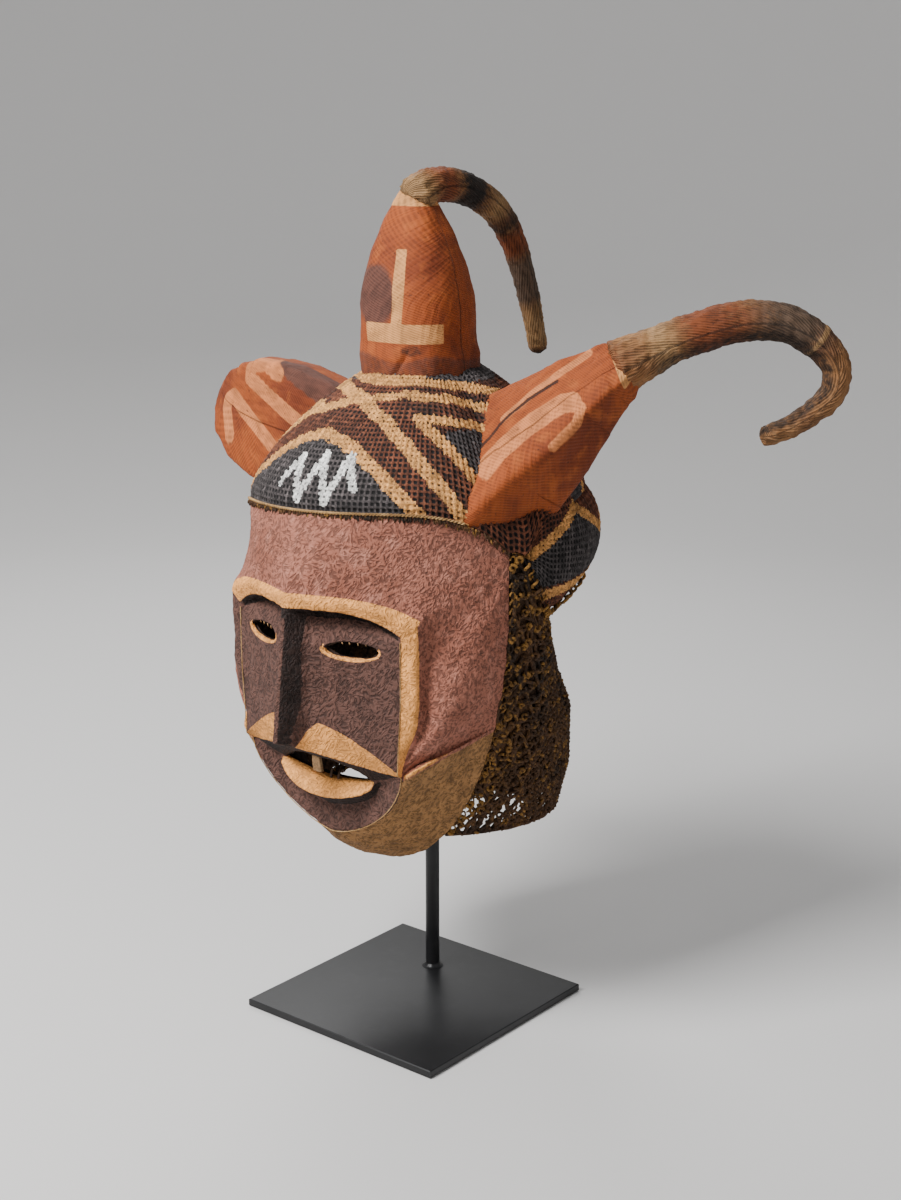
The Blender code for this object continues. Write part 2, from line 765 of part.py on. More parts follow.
def tube(path, radii, side, section, count):
    """Rings of the given section along a path, with side as its level axis."""
    rings = []
    for centre, way, (wide, high) in zip(path, frames(path), radii):
        level = (side - way * side.dot(way)).normalized()
        up = level.cross(way).normalized()
        if not rings:
            turned = -1.0 if up.z < 0.0 else 1.0
        up *= turned
        ring = []
        for k in range(count):
            angle = 360.0 * k / count
            reach = section(angle)
            turn = math.radians(angle)
            ring.append(centre + level * (wide * reach * math.cos(turn))
                        + up * (high * reach * math.sin(turn)))
        rings.append(ring)
    return rings


def swollen(rings):
    """The rings pushed out by the gap all round and past both ends."""
    centres = [sum(ring, Vector()) / len(ring) for ring in rings]
    grown = []
    for k, (ring, centre, way) in enumerate(zip(rings, centres, frames(centres))):
        past = way * GAP * ((k == len(rings) - 1) - (k == 0))
        grown.append([point + (point - centre).normalized() * 1.5 * GAP + past for point in ring])
    return grown


def round_section(_angle):
    return 1.0


def top_lobe(cutter):
    """The tall bullet-shaped lobe on the crown."""
    low = around(0.0, 0.0, 378.0)
    foot = at(0.0, 10.0, 398.0)
    top = foot.z + TOP_LOBE_HEIGHT
    straight = foot.z + 0.36 * TOP_LOBE_HEIGHT
    levels = [low.z, foot.z] + [mix(foot.z, straight, k / 3) for k in (1, 2, 3)]
    levels += [mix(straight, top, s) for s in (0.25, 0.45, 0.62, 0.76, 0.87, 0.94)]
    rings = []
    for z in levels:
        taper = max((z - straight) / (top - straight), 0.0)
        lean = TOP_LOBE_RADIUS * (0.06 + 0.10 * (z - foot.z) / (top - foot.z))
        reach = TOP_LOBE_RADIUS * (1.0 - taper ** 1.4) ** (1 / 1.4)
        belly = 1.0 + 0.05 * math.sin(math.pi * min(max((z - foot.z) / (straight - foot.z), 0), 1))
        ring = []
        for k in range(24):
            turn = math.tau * k / 24
            squared = (abs(math.cos(turn)) ** 2.5 + abs(math.sin(turn)) ** 2.5) ** (-1 / 2.5)
            ring.append(Vector((foot.x - lean + reach * squared * math.cos(turn),
                                foot.y + 0.92 * belly * reach * squared * math.sin(turn), z)))
        rings.append(ring)
    cut(add_object("lobe_top", *loft(rings), "lobe_cloth"), cutter)
    return add_object("lobe_top_cutter", *loft(swollen(rings)), "lobe_cloth")


TOP_HORN_PATH = ((24.0, 541.0), (0.0, 546.0), (-28.0, 545.0), (-55.0, 538.0), (-80.0, 526.5),
                 (-99.0, 510.0), (-113.0, 489.5), (-123.5, 468.0), (-134.5, 441.0),
                 (-143.5, 412.0), (-147.5, 399.0))


def top_horn(cutter):
    """The horn that curls back from the top lobe's tip, in the mask's middle."""
    tip = CHIN_HEIGHT + 398.0 * MM + TOP_LOBE_HEIGHT
    lift = tip - (CHIN_HEIGHT + 552.0 * MM)
    points = [at(0.0, forward, height) + Vector((0, 0, lift)) for forward, height in TOP_HORN_PATH[1:]]
    path = curve(points, 22)
    radii = []
    for k in range(len(path)):
        share = k / (len(path) - 1)
        radius = TOP_HORN_RADIUS * mix(1.0, 0.50, share) * (1.0 - 0.45 * smooth((share - 0.93) / 0.07))
        radii.append((radius, radius))
    rings = tube(path, radii, Vector((1, 0, 0)), round_section, 12)
    cut(add_object("horn_top", *loft(rings), "horn_cloth"), cutter)


# Section faces of the side lobes: direction from the front, distance as a share
LOBE_FACES = ((32.8, 0.57), (-67.7, 0.92), (210.6, 0.62), (140.2, 0.67))
EAR_FACES = ((8.0, 0.55), (90.0, 1.0), (180.0, 0.55), (270.0, 1.0))

# Each section of a side lobe: across, forward and height of its middle, then
# its half width and half height as shares of the girth
RIGHT_LOBE_PATH = ((62.0, 36.0, 296.0, 1.40, 1.16), (80.0, 26.0, 318.0, 1.40, 1.20),
                   (100.0, 14.0, 343.0, 1.22, 1.10), (122.0, 1.0, 366.0, 0.92, 0.94),
                   (143.0, -11.5, 389.0, 0.68, 0.72), (161.0, -22.0, 406.0, 0.50, 0.54),
                   (177.0, -31.0, 418.5, 0.40, 0.43))
LEFT_LOBE_PATH = ((-62.0, 0.0, 322.0, 0.66, 0.80), (-104.0, 0.0, 330.0, 0.78, 0.95),
                  (-146.0, 0.0, 338.0, 0.80, 1.02), (-176.0, 0.0, 342.0, 0.74, 1.00),
                  (-202.0, 0.0, 348.0, 0.64, 0.90), (-222.0, 0.0, 355.0, 0.48, 0.68),
                  (-235.0, 0.0, 361.0, 0.28, 0.40), (-241.0, 0.0, 364.0, 0.09, 0.12))
RIGHT_HORN_DIRECTION = 42.0
RIGHT_HORN_PATH = ((1.0, 419.5), (16.0, 426.5), (31.0, 433.5), (50.0, 440.0), (82.0, 448.0),
                   (111.0, 447.0), (131.0, 439.0), (147.5, 426.0), (156.5, 411.0),
                   (155.0, 393.5), (143.5, 380.5), (127.0, 369.0), (111.0, 361.5), (99.5, 359.0))


def lobe_rings(path, faces):
    """Rings of a side lobe, with each section's front towards the viewer."""
    centres = [at(across, forward, height) for across, forward, height, _, _ in path]
    radii = [(wide * SIDE_LOBE_GIRTH, high * SIDE_LOBE_GIRTH) for _, _, _, wide, high in path]
    return tube(centres, radii, Vector((0, -1, 0)), lambda angle: soft_polygon(faces, angle), 24)


def right_lobe(cutter):
    """The lobe over the viewer's right ear, ending flat at the horn's neck."""
    rings = lobe_rings(RIGHT_LOBE_PATH, LOBE_FACES)
    cut(add_object("lobe_right", *loft(rings), "lobe_cloth"), cutter)
    return add_object("lobe_right_cutter", *loft(swollen(rings)), "lobe_cloth")


def left_lobe(cutter):
    """The lobe over the other ear, shorter, drooping and without a horn."""
    rings = lobe_rings(LEFT_LOBE_PATH, EAR_FACES)
    cut(add_object("lobe_left", *loft(rings), "lobe_cloth"), cutter)


def right_horn(cutter):
    """The long horn that runs out from the right lobe and curls down."""
    across, forward, _, _, _ = RIGHT_LOBE_PATH[-1]
    neck = at(across, forward, 0.0)
    turn = math.radians(RIGHT_HORN_DIRECTION)
    out = Vector((math.cos(turn), math.sin(turn), 0.0))
    points = [neck + out * (s * MM) + Vector((0, 0, h * MM)) for s, h in RIGHT_HORN_PATH]
    path = curve(points, 36)
    radii = []
    for k in range(len(path)):
        share = k / (len(path) - 1)
        swell = 1.0 + 0.28 * (1.0 - smooth(share / 0.22))
        radius = SIDE_HORN_RADIUS * swell * mix(1.0, 0.52, smooth((share - 0.25) / 0.70))
        radius *= 1.0 - 0.4 * smooth((share - 0.95) / 0.05)
        radii.append((radius, radius))
    side = Vector((math.sin(turn), -math.cos(turn), 0.0))
    rings = tube(path, radii, side, round_section, 12)
    cut(add_object("horn_right", *loft(rings), "horn_cloth"), cutter)


def main():
    clear_scene()
    base_plate()
    stand_rod()
    face_shell()
    tooth()
    cap()
    hem_cord()
    net_hood()
    under_lobes = cap_cutter()
    left_lobe(under_lobes)
    top_horn(top_lobe(under_lobes))
    right_horn(right_lobe(under_lobes))


main()
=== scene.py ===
"""Looks of a helmet mask on its stand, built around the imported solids.

Each skin follows the same shape rules as its solid at a finer pitch, and
carries painted values at its points, called marks, which the finishes read.
Lengths of the mask are in millimetres of the head: across to the viewer's
right, forward to the face, and height above the chin.  `Head.place` turns
them into metres.
"""

import logging
import math
from dataclasses import dataclass, field
from enum import Enum
from functools import partial
from typing import Callable, Iterable, Sequence

import bmesh
import bpy
import numpy as np
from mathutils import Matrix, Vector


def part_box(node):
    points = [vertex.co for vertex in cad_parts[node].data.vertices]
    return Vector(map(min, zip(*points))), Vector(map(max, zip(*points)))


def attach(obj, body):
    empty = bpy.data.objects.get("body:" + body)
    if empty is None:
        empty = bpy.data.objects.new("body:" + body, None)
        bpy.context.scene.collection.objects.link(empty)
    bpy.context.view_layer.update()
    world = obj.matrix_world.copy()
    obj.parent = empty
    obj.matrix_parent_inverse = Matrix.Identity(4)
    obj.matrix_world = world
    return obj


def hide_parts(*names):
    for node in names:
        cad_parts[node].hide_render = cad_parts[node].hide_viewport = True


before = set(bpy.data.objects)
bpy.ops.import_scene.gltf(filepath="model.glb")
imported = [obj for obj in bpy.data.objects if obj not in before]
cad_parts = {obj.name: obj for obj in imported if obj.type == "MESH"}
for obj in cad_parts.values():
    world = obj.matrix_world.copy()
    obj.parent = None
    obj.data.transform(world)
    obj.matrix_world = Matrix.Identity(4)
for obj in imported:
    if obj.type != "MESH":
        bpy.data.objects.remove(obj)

LOG = logging.getLogger("mask")
TAU = math.tau

Colour = tuple[float, float, float]
Point = tuple[float, float, float]
Marks = dict[str, np.ndarray]


def ease(x: float) -> float:
    """Ease from 0 to 1 as x goes from 0 to 1."""
    x = min(max(x, 0.0), 1.0)
    return x * x * (3.0 - 2.0 * x)


def mix(a, b, t):
    """Go the share t of the way from a to b."""
    return a + (b - a) * t


def step_down(x, edge: float, width: float):
    """Return 1 below the edge and 0 above it, with a ramp of the width."""
    return np.clip(0.5 + (edge - x) / width, 0.0, 1.0)


def ripple(points: np.ndarray, pitch: float, seed: int, waves: int = 14) -> np.ndarray:
    """Sum waves of many directions into a smooth, repeatable unevenness.

    Args:
        points: Places, one row each.
        pitch: Typical distance between two humps, in the points' units.
        seed: Which pattern to give.
        waves: How many waves to sum.

    Returns:
        One value for each point, mostly between -1 and 1.
    """
    dice = np.random.default_rng(seed)
    total = np.zeros(len(points))
    for _ in range(waves):
        way = dice.normal(size=3)
        way /= np.linalg.norm(way)
        rate = TAU / (pitch * dice.uniform(0.7, 1.5))
        total += np.sin(points @ way * rate + dice.uniform(0.0, TAU))
    return total / math.sqrt(waves)


def spline(knots: Sequence[Sequence[float]], count: int) -> np.ndarray:
    """Sample a Catmull-Rom curve evenly between its knots.

    Args:
        knots: Rows of any width that the curve runs through.
        count: How many spans to divide it into.

    Returns:
        count + 1 rows.
    """
    knots = np.asarray(knots, dtype=float)
    spans = len(knots) - 1
    place = np.linspace(0.0, spans, count + 1)
    i = np.minimum(place.astype(int), spans - 1)
    t = (place - i)[:, None]
    a, b = knots[np.maximum(i - 1, 0)], knots[i]
    c, d = knots[i + 1], knots[np.minimum(i + 2, spans)]
    return 0.5 * (2 * b + (c - a) * t + (2 * a - 5 * b + 4 * c - d) * t ** 2
                  + (3 * b - a - 3 * c + d) * t ** 3)


def stops(keys: Sequence[float], pitch: float) -> list[float]:
    """Divide each gap between keys into even steps of at most the pitch."""
    places = [keys[0]]
    for low, high in zip(keys[:-1], keys[1:]):
        count = max(1, math.ceil(abs(high - low) / pitch))
        places += [mix(low, high, k / count) for k in range(1, count + 1)]
    return places


def stroke_distance(points: np.ndarray, line: np.ndarray) -> np.ndarray:
    """Distance from each point to a line through the given places."""
    best = np.full(len(points), np.inf)
    for a, b in zip(line[:-1], line[1:]):
        way = b - a
        share = np.clip((points - a) @ way / max(way @ way, 1e-18), 0.0, 1.0)
        best = np.minimum(best, np.linalg.norm(points - a - share[:, None] * way, axis=1))
    return best


@dataclass(frozen=True)
class Head:
    """Where the head stands, read from the face's solid."""

    x: float
    y: float
    chin: float
    unit: float

    @classmethod
    def from_frame(cls, form: "FaceForm") -> "Head":
        """Read the head's axis, chin and scale from the box of the face."""
        low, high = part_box("face_shell")
        unit = (high[0] - low[0]) / (2 * form.back_half_width)
        return cls(0.5 * (low[0] + high[0]), high[1] + form.back_forward * unit, low[2], unit)

    def place(self, drawn: np.ndarray) -> np.ndarray:
        """Turn rows of (across, forward, height) into metres."""
        drawn = np.asarray(drawn, dtype=float)
        turned = drawn * np.array([1.0, -1.0, 1.0]) * self.unit
        return turned + np.array([self.x, self.y, self.chin])


@dataclass
class Skin:
    """Points in head millimetres, faces, and the marks painted on them."""

    points: np.ndarray
    faces: list[tuple[int, ...]]
    marks: Marks = field(default_factory=dict)
    patches: Marks = field(default_factory=dict)

    @classmethod
    def grid(cls, rows: np.ndarray, marks: Marks | None = None,
             keep: Callable[[int, int], bool] | None = None, closed: bool = False) -> "Skin":
        """Join rows of points into a sheet of quads.

        Args:
            rows: An array of rows by columns by 3.
            marks: Values of rows by columns.
            keep: Says which quads to make, by row and column.
            closed: Whether the last column meets the first.

        Returns:
            The sheet.
        """
        height, width = rows.shape[:2]
        faces = []
        for r in range(height - 1):
            for c in range(width if closed else width - 1):
                if keep is None or keep(r, c):
                    n = (c + 1) % width
                    faces.append((r * width + c, r * width + n,
                                  (r + 1) * width + n, (r + 1) * width + c))
        flat = {name: np.asarray(value, dtype=float).reshape(-1) for name, value in (marks or {}).items()}
        return cls(rows.reshape(-1, 3), faces, flat)

    @classmethod
    def joined(cls, parts: Iterable["Skin"]) -> "Skin":
        """Put several sheets into one, filling marks that one lacks with 0."""
        parts = list(parts)
        names = {name for part in parts for name in part.marks}
        patch_names = {name for part in parts for name in part.patches}
        points, faces, start = [], [], 0
        marks = {name: [] for name in names}
        patches = {name: [] for name in patch_names}
        for part in parts:
            points.append(part.points)
            faces += [tuple(i + start for i in face) for face in part.faces]
            start += len(part.points)
            for name in names:
                marks[name].append(part.marks.get(name, np.zeros(len(part.points))))
            for name in patch_names:
                patches[name].append(part.patches.get(name, np.zeros(len(part.faces))))
        return cls(np.concatenate(points), faces,
                   {name: np.concatenate(value) for name, value in marks.items()},
                   {name: np.concatenate(value) for name, value in patches.items()})

    def welded(self, grip: float = 0.02) -> "Skin":
        """Join points closer than the grip, sharing out their marks."""
        keys = np.round(self.points / grip).astype(np.int64)
        _, first, back = np.unique(keys, axis=0, return_index=True, return_inverse=True)
        back = back.reshape(-1)
        counts = np.bincount(back)
        marks = {name: np.bincount(back, weights=value) / counts for name, value in self.marks.items()}
        faces, kept = [], []
        for k, face in enumerate(self.faces):
            ring = []
            for i in face:
                j = int(back[i])
                if j not in ring:
                    ring.append(j)
            if len(ring) > 2:
                faces.append(tuple(ring))
                kept.append(k)
        patches = {name: value[kept] for name, value in self.patches.items()}
        return Skin(self.points[first], faces, marks, patches)

    def _edges(self) -> tuple[np.ndarray, np.ndarray]:
        """Every edge once for each face on it, and how often each occurs."""
        pairs = [(a, b) if a < b else (b, a) for face in self.faces
                 for a, b in zip(face, face[1:] + face[:1])]
        return np.unique(np.array(pairs), axis=0, return_counts=True)

    def relaxed(self, rounds: int) -> "Skin":
        """Soften creases by drawing points halfway to their neighbours; open edges stay.

        Args:
            rounds: How many times to do it.

        Returns:
            The softened skin.
        """
        edges, uses = self._edges()
        count = len(self.points)
        pull = np.full(count, 0.5)
        pull[edges[uses == 1].reshape(-1)] = 0.0
        a, b = edges[:, 0], edges[:, 1]
        degree = np.maximum(np.bincount(a, minlength=count) + np.bincount(b, minlength=count), 1)
        points = self.points.copy()
        for _ in range(rounds):
            mean = np.stack([(np.bincount(a, weights=points[b, k], minlength=count)
                              + np.bincount(b, weights=points[a, k], minlength=count)) / degree
                             for k in range(3)], axis=1)
            points += (mean - points) * pull[:, None]
        return Skin(points, self.faces, self.marks, self.patches)

    def build(self, name: str, head: Head, material: bpy.types.Material,
              relief: Callable[[np.ndarray, Marks], np.ndarray] | None = None) -> bpy.types.Object:
        """Make the object, with its relief pushed out along its normals.

        Args:
            name: The piece's name.
            head: Gives the places in metres.
            material: The finish.
            relief: Heights in millimetres from points and marks.

        Returns:
            The new object, riding on the part.
        """
        mesh = bpy.data.meshes.new(name)
        mesh.from_pydata(head.place(self.points).tolist(), [], self.faces)
        turned = bmesh.new()
        turned.from_mesh(mesh)
        bmesh.ops.recalc_face_normals(turned, faces=turned.faces)
        turned.to_mesh(mesh)
        turned.free()
        if relief is not None:
            normals = np.empty(len(self.points) * 3)
            mesh.vertices.foreach_get("normal", normals)
            places = head.place(self.points) + normals.reshape(-1, 3) * (
                relief(self.points, self.marks) * head.unit)[:, None]
            mesh.vertices.foreach_set("co", places.reshape(-1))
        for domain, values in (("POINT", self.marks), ("FACE", self.patches)):
            for mark, value in values.items():
                layer = mesh.attributes.new(mark, "FLOAT", domain)
                layer.data.foreach_set("value", np.ascontiguousarray(value, dtype=np.float32))
        mesh.shade_smooth()
        mesh.materials.append(material)
        mesh.update()
        made = bpy.data.objects.new(name, mesh)
        bpy.context.scene.collection.objects.link(made)
        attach(made, "root")
        return made


def tube(path: np.ndarray, radius, sides: int, level: Sequence[float] | None = None,
         section: Callable[[float], float] | None = None) -> np.ndarray:
    """Put a ring round each point of a path.

    Args:
        path: The middle line, one row a point.
        radius: One number, one for each point, or a pair of columns wide and high.
        sides: Points in a ring.
        level: The direction that a ring's first point keeps to, where it matters.
        section: The ring's reach by its angle in degrees, 1 all round if not given.

    Returns:
        An array of rings by sides by 3.
    """
    path = np.asarray(path, dtype=float)
    ways = np.gradient(path, axis=0)
    ways /= np.maximum(np.linalg.norm(ways, axis=1, keepdims=True), 1e-12)
    radius = np.asarray(radius, dtype=float)
    if radius.ndim < 2:
        radius = np.stack([np.broadcast_to(radius, len(path))] * 2, axis=1)
    side = np.asarray(level if level is not None else np.cross(ways[0], (0.31, 0.17, 0.93)), dtype=float)
    sides_at = []
    for way in ways:
        flat = side - way * (side @ way)
        flat /= max(np.linalg.norm(flat), 1e-12)
        if level is None:
            side = flat
        sides_at.append(flat)
    sides_at = np.array(sides_at)
    ups = np.cross(sides_at, ways)
    if level is not None and ups[0, 2] < 0.0:
        ups = -ups
    angles = np.arange(sides) * (TAU / sides)
    reach = np.ones(sides) if section is None else np.array([section(math.degrees(a)) for a in angles])
    cos, sin = reach * np.cos(angles), reach * np.sin(angles)
    return (path[:, None, :] + sides_at[:, None, :] * (radius[:, :1] * cos)[:, :, None]
            + ups[:, None, :] * (radius[:, 1:] * sin)[:, :, None])


def rope(path: np.ndarray, radius, sides: int = 6, **marks: float) -> Skin:
    """A round strand along a path, with closed ends.

    Args:
        path: The strand's middle line.
        radius: Its radius, or one for each point.
        sides: Points round it.
        marks: Values that it carries all over.

    Returns:
        The strand.
    """
    skin = Skin.grid(tube(path, radius, sides), closed=True)
    last = len(skin.points) - sides
    skin.faces.append(tuple(range(sides))[::-1])
    skin.faces.append(tuple(range(last, last + sides)))
    skin.marks = {name: np.full(len(skin.points), value) for name, value in marks.items()}
    return skin


class Grain(Enum):
    """How a finish is uneven close up."""

    WORMS = "short raised fibres in all directions"
    RIBS = "fine ribs along and across the cloth"
    BASKET = "strands of basketry"
    FIBRE = "twisted plant fibre"
    STEEL = "satin paint on steel"


@dataclass(frozen=True)
class Coat:
    """One paint over the ground, where a mark is set.

    Noise moves its edge by the raggedness, and it fades by the softness on
    either side of that edge.
    """

    mark: str
    colour: Colour
    ragged: float = 0.25
    soft: float = 0.08


@dataclass(frozen=True)
class Finish:
    """A surface: its ground, how the ground drifts, its paints and its grain.

    Depth and pitch are the grain's height and spacing in metres, and the pit shade
    gives how much painted shade darkens the colour in the grain's pits.  Ribs
    follow the metres along and round the cloth, mixed by the slant.
    """

    name: str
    ground: Colour
    dark: Colour
    light: Colour
    grain: Grain
    coats: tuple[Coat, ...] = ()
    roughness: float = 0.82
    depth: float = 0.0006
    pitch: float = 0.0028
    pit_shade: float = 0.5
    slant: tuple[float, float] = (1.0, 0.3)

    def material(self) -> bpy.types.Material:
        """Return the material, made on its first use."""
        return bpy.data.materials.get(self.name) or Workshop(self).make()


class Workshop:
    """Builds the nodes of one finish."""

    def __init__(self, finish: Finish) -> None:
        """Start an empty node tree with a shader and its output."""
        self.finish = finish
        self.made = bpy.data.materials.new(finish.name)
        self.made.use_nodes = True
        self.tree = self.made.node_tree
        self.shader = self.tree.nodes["Principled BSDF"]
        self.where = self.node("ShaderNodeTexCoord").outputs["Object"]

    def node(self, kind: str, **values) -> bpy.types.Node:
        """Add a node, set its properties, and link or set its inputs.

        Args:
            kind: The node's type.
            values: Properties, or inputs by name with spaces as underscores,
                or by number as i0, i1.

        Returns:
            The node.
        """
        made = self.tree.nodes.new(kind)
        for name, value in values.items():
            if hasattr(made, name):
                setattr(made, name, value)
                continue
            key = int(name[1:]) if name[1:].isdigit() else name.replace("_", " ")
            socket = made.inputs[key]
            if isinstance(value, bpy.types.NodeSocket):
                self.tree.links.new(value, socket)
            else:
                socket.default_value = value
        return made

    def sum(self, operation: str, *values) -> bpy.types.NodeSocket:
        """One math node."""
        inputs = {f"i{k}": value for k, value in enumerate(values)}
        return self.node("ShaderNodeMath", operation=operation, **inputs).outputs[0]

    def ramp(self, value: bpy.types.NodeSocket, low: float, high: float) -> bpy.types.NodeSocket:
        """Go smoothly from 0 at low to 1 at high."""
        made = self.node("ShaderNodeMapRange", interpolation_type="SMOOTHSTEP", Value=value)
        made.inputs["From Min"].default_value = low
        made.inputs["From Max"].default_value = high
        return made.outputs[0]

    def blend(self, a, b, share, mode: str = "MIX") -> bpy.types.NodeSocket:
        """Mix two colours; a tuple is a plain colour."""
        made = self.node("ShaderNodeMix", data_type="RGBA", blend_type=mode)
        for socket, value in ((made.inputs[6], a), (made.inputs[7], b), (made.inputs[0], share)):
            if isinstance(value, bpy.types.NodeSocket):
                self.tree.links.new(value, socket)
            else:
                socket.default_value = (*value, 1.0) if isinstance(value, tuple) else value
        return made.outputs[2]

    def mark(self, name: str) -> bpy.types.NodeSocket:
        """Read a mark of the skin."""
        return self.node("ShaderNodeAttribute", attribute_name=name).outputs["Fac"]

    def noise(self, pitch: float, detail: float = 3.0, place=None, warp: float = 0.0,
              rough: float = 0.55) -> bpy.types.NodeSocket:
        """Noise whose humps lie about the pitch apart, in metres."""
        made = self.node("ShaderNodeTexNoise", Vector=place or self.where, Scale=0.6 / pitch,
                         Detail=detail, Roughness=rough, Distortion=warp)
        return made.outputs["Fac"]

    def surface(self, stretch_along: float, stretch_round: float) -> bpy.types.NodeSocket:
        """Places on the skin by its marks along and round, each stretched."""
        along = self.sum("MULTIPLY", self.mark("along"), stretch_along)
        about = self.sum("MULTIPLY", self.mark("round"), stretch_round)
        return self.node("ShaderNodeCombineXYZ", X=along, Y=about).outputs[0]

    def fibres(self, pitch: float, turn: float) -> bpy.types.NodeSocket:
        """Noise drawn out into fibres that lie at a turn from upright, sharpened."""
        turned = self.node("ShaderNodeVectorRotate", rotation_type="Y_AXIS", Vector=self.where, Angle=turn)
        drawn = self.node("ShaderNodeVectorMath", operation="MULTIPLY", i0=turned.outputs[0])
        drawn.inputs[1].default_value = (1.0, 0.8, 0.36)
        return self.ramp(self.noise(pitch, 1.0, drawn.outputs[0], 0.35), 0.34, 0.62)

    def worms(self, pitch: float) -> bpy.types.NodeSocket:
        """Fibres whose direction changes from place to place."""
        height = self.fibres(pitch, 0.4)
        for turn, patch, seed in ((1.45, 0.0050, 3.1), (2.5, 0.0060, 7.7)):
            moved = self.node("ShaderNodeVectorMath", operation="ADD", i0=self.where)
            moved.inputs[1].default_value = (seed, seed, seed)
            share = self.ramp(self.noise(patch, 1.0, moved.outputs[0]), 0.47, 0.53)
            mixed = self.node("ShaderNodeMix", i0=share, i2=height, i3=self.fibres(pitch, turn))
            height = mixed.outputs[0]
        return height

    def grain(self) -> tuple[bpy.types.NodeSocket, float]:
        """The finish's grain as a height from 0 to 1, and its depth in metres."""
        finish = self.finish
        fine = self.noise(finish.pitch * 0.35, 2.0)
        if finish.grain is Grain.STEEL:
            return self.noise(0.0008, 2.0), finish.depth
        if finish.grain is Grain.WORMS:
            body = self.sum("MULTIPLY", self.worms(finish.pitch), 0.80)
        elif finish.grain is Grain.RIBS:
            across = self.sum("MULTIPLY", self.mark("round"), finish.slant[1])
            place = self.sum("MULTIPLY_ADD", self.mark("along"), finish.slant[0], across)
            lengthwise = self.node("ShaderNodeCombineXYZ", X=place).outputs[0]
            ribs = self.node("ShaderNodeTexWave", Vector=lengthwise,
                             Scale=TAU / 20.0 / finish.pitch, Distortion=0.0)
            crossing = self.noise(finish.pitch * 1.4, 1.0, self.surface(0.25, 1.0), 0.2)
            weft = self.ramp(crossing, 0.38, 0.62)
            body = self.sum("MULTIPLY_ADD", ribs.outputs["Fac"], 0.45, self.sum("MULTIPLY", weft, 0.35))
        else:
            strands = self.ramp(self.noise(finish.pitch, 3.0, None, 0.8, 0.6), 0.35, 0.65)
            body = self.sum("MULTIPLY", strands, 0.80)
        return self.sum("MULTIPLY_ADD", fine, 0.25, body), finish.depth

    def shaded(self, colour: bpy.types.NodeSocket, shade: bpy.types.NodeSocket) -> bpy.types.NodeSocket:
        """Multiply a colour by a grey."""
        grey = self.node("ShaderNodeCombineColor", i0=shade, i1=shade, i2=shade).outputs[0]
        return self.blend(colour, grey, 1.0, "MULTIPLY")

    def make(self) -> bpy.types.Material:
        """Build the whole finish."""
        finish = self.finish
        height, depth = self.grain()
        broad = self.noise(0.034, 4.0, None, 0.5)
        local = self.noise(0.008, 3.0)
        colour = self.blend(finish.ground, finish.dark, self.ramp(broad, 0.42, 0.68))
        colour = self.blend(colour, finish.light, self.sum("MULTIPLY", self.ramp(local, 0.50, 0.72), 0.6))
        edge = self.sum("SUBTRACT", self.noise(0.0022, 2.0), 0.5)
        for coat in finish.coats:
            share = self.sum("MULTIPLY_ADD", edge, coat.ragged * 2.0, self.mark(coat.mark))
            share = self.ramp(share, 0.5 - coat.soft, 0.5 + coat.soft)
            faded = tuple(0.72 * c for c in coat.colour)
            worn = self.blend(coat.colour, faded, self.ramp(local, 0.40, 0.66))
            colour = self.blend(colour, worn, share)
        # Painted shade: the colour darkens where the grain is low, in its pits, and less on the face's tan.
        pits = self.ramp(height, 0.10, 0.70)
        shade = self.sum("MULTIPLY_ADD", pits, finish.pit_shade, 1.0 - finish.pit_shade)
        if finish.grain is Grain.WORMS:
            shade = self.sum("MAXIMUM", shade, self.sum("MULTIPLY", self.mark("tan"), 0.80))
        colour = self.shaded(colour, shade)
        dots = self.ramp(self.noise(0.0016, 1.0), 0.70, 0.76)
        colour = self.blend(colour, (0.012, 0.007, 0.005), self.sum("MULTIPLY", dots, 0.55))
        if finish.grain is Grain.BASKET:
            tone = self.mark("tone")
            light = self.sum("MAXIMUM", self.mark("tan"), self.mark("white"))
            faint = self.sum("SUBTRACT", 1.0, tone)
            tone = self.sum("MULTIPLY_ADD", faint, self.sum("MULTIPLY", light, 0.6), tone)
            colour = self.shaded(colour, tone)
            # Painted shade: the weave's holes go nearly black, less where the stripes' paint covers them.
            hole = self.sum("MULTIPLY_ADD", light, -0.38, self.mark("hole"))
            colour = self.blend(colour, (0.004, 0.003, 0.003), self.ramp(hole, 0.38, 0.72))
        self.tree.links.new(colour, self.shader.inputs["Base Color"])
        self.shader.inputs["Roughness"].default_value = finish.roughness
        self.shader.inputs["Specular IOR Level"].default_value = 0.32
        bump = self.node("ShaderNodeBump", Height=height, Distance=depth, Strength=1.0)
        self.tree.links.new(bump.outputs[0], self.shader.inputs["Normal"])
        return self.made


TAN = (0.92, 0.390, 0.100)
CREAM = (0.74, 0.355, 0.110)
# Near-black umber, used on the face only as painted shade.
SHADE_UMBER = (0.026, 0.013, 0.010)
PLUM = (0.118, 0.054, 0.040)
OLIVE = (0.340, 0.170, 0.062)

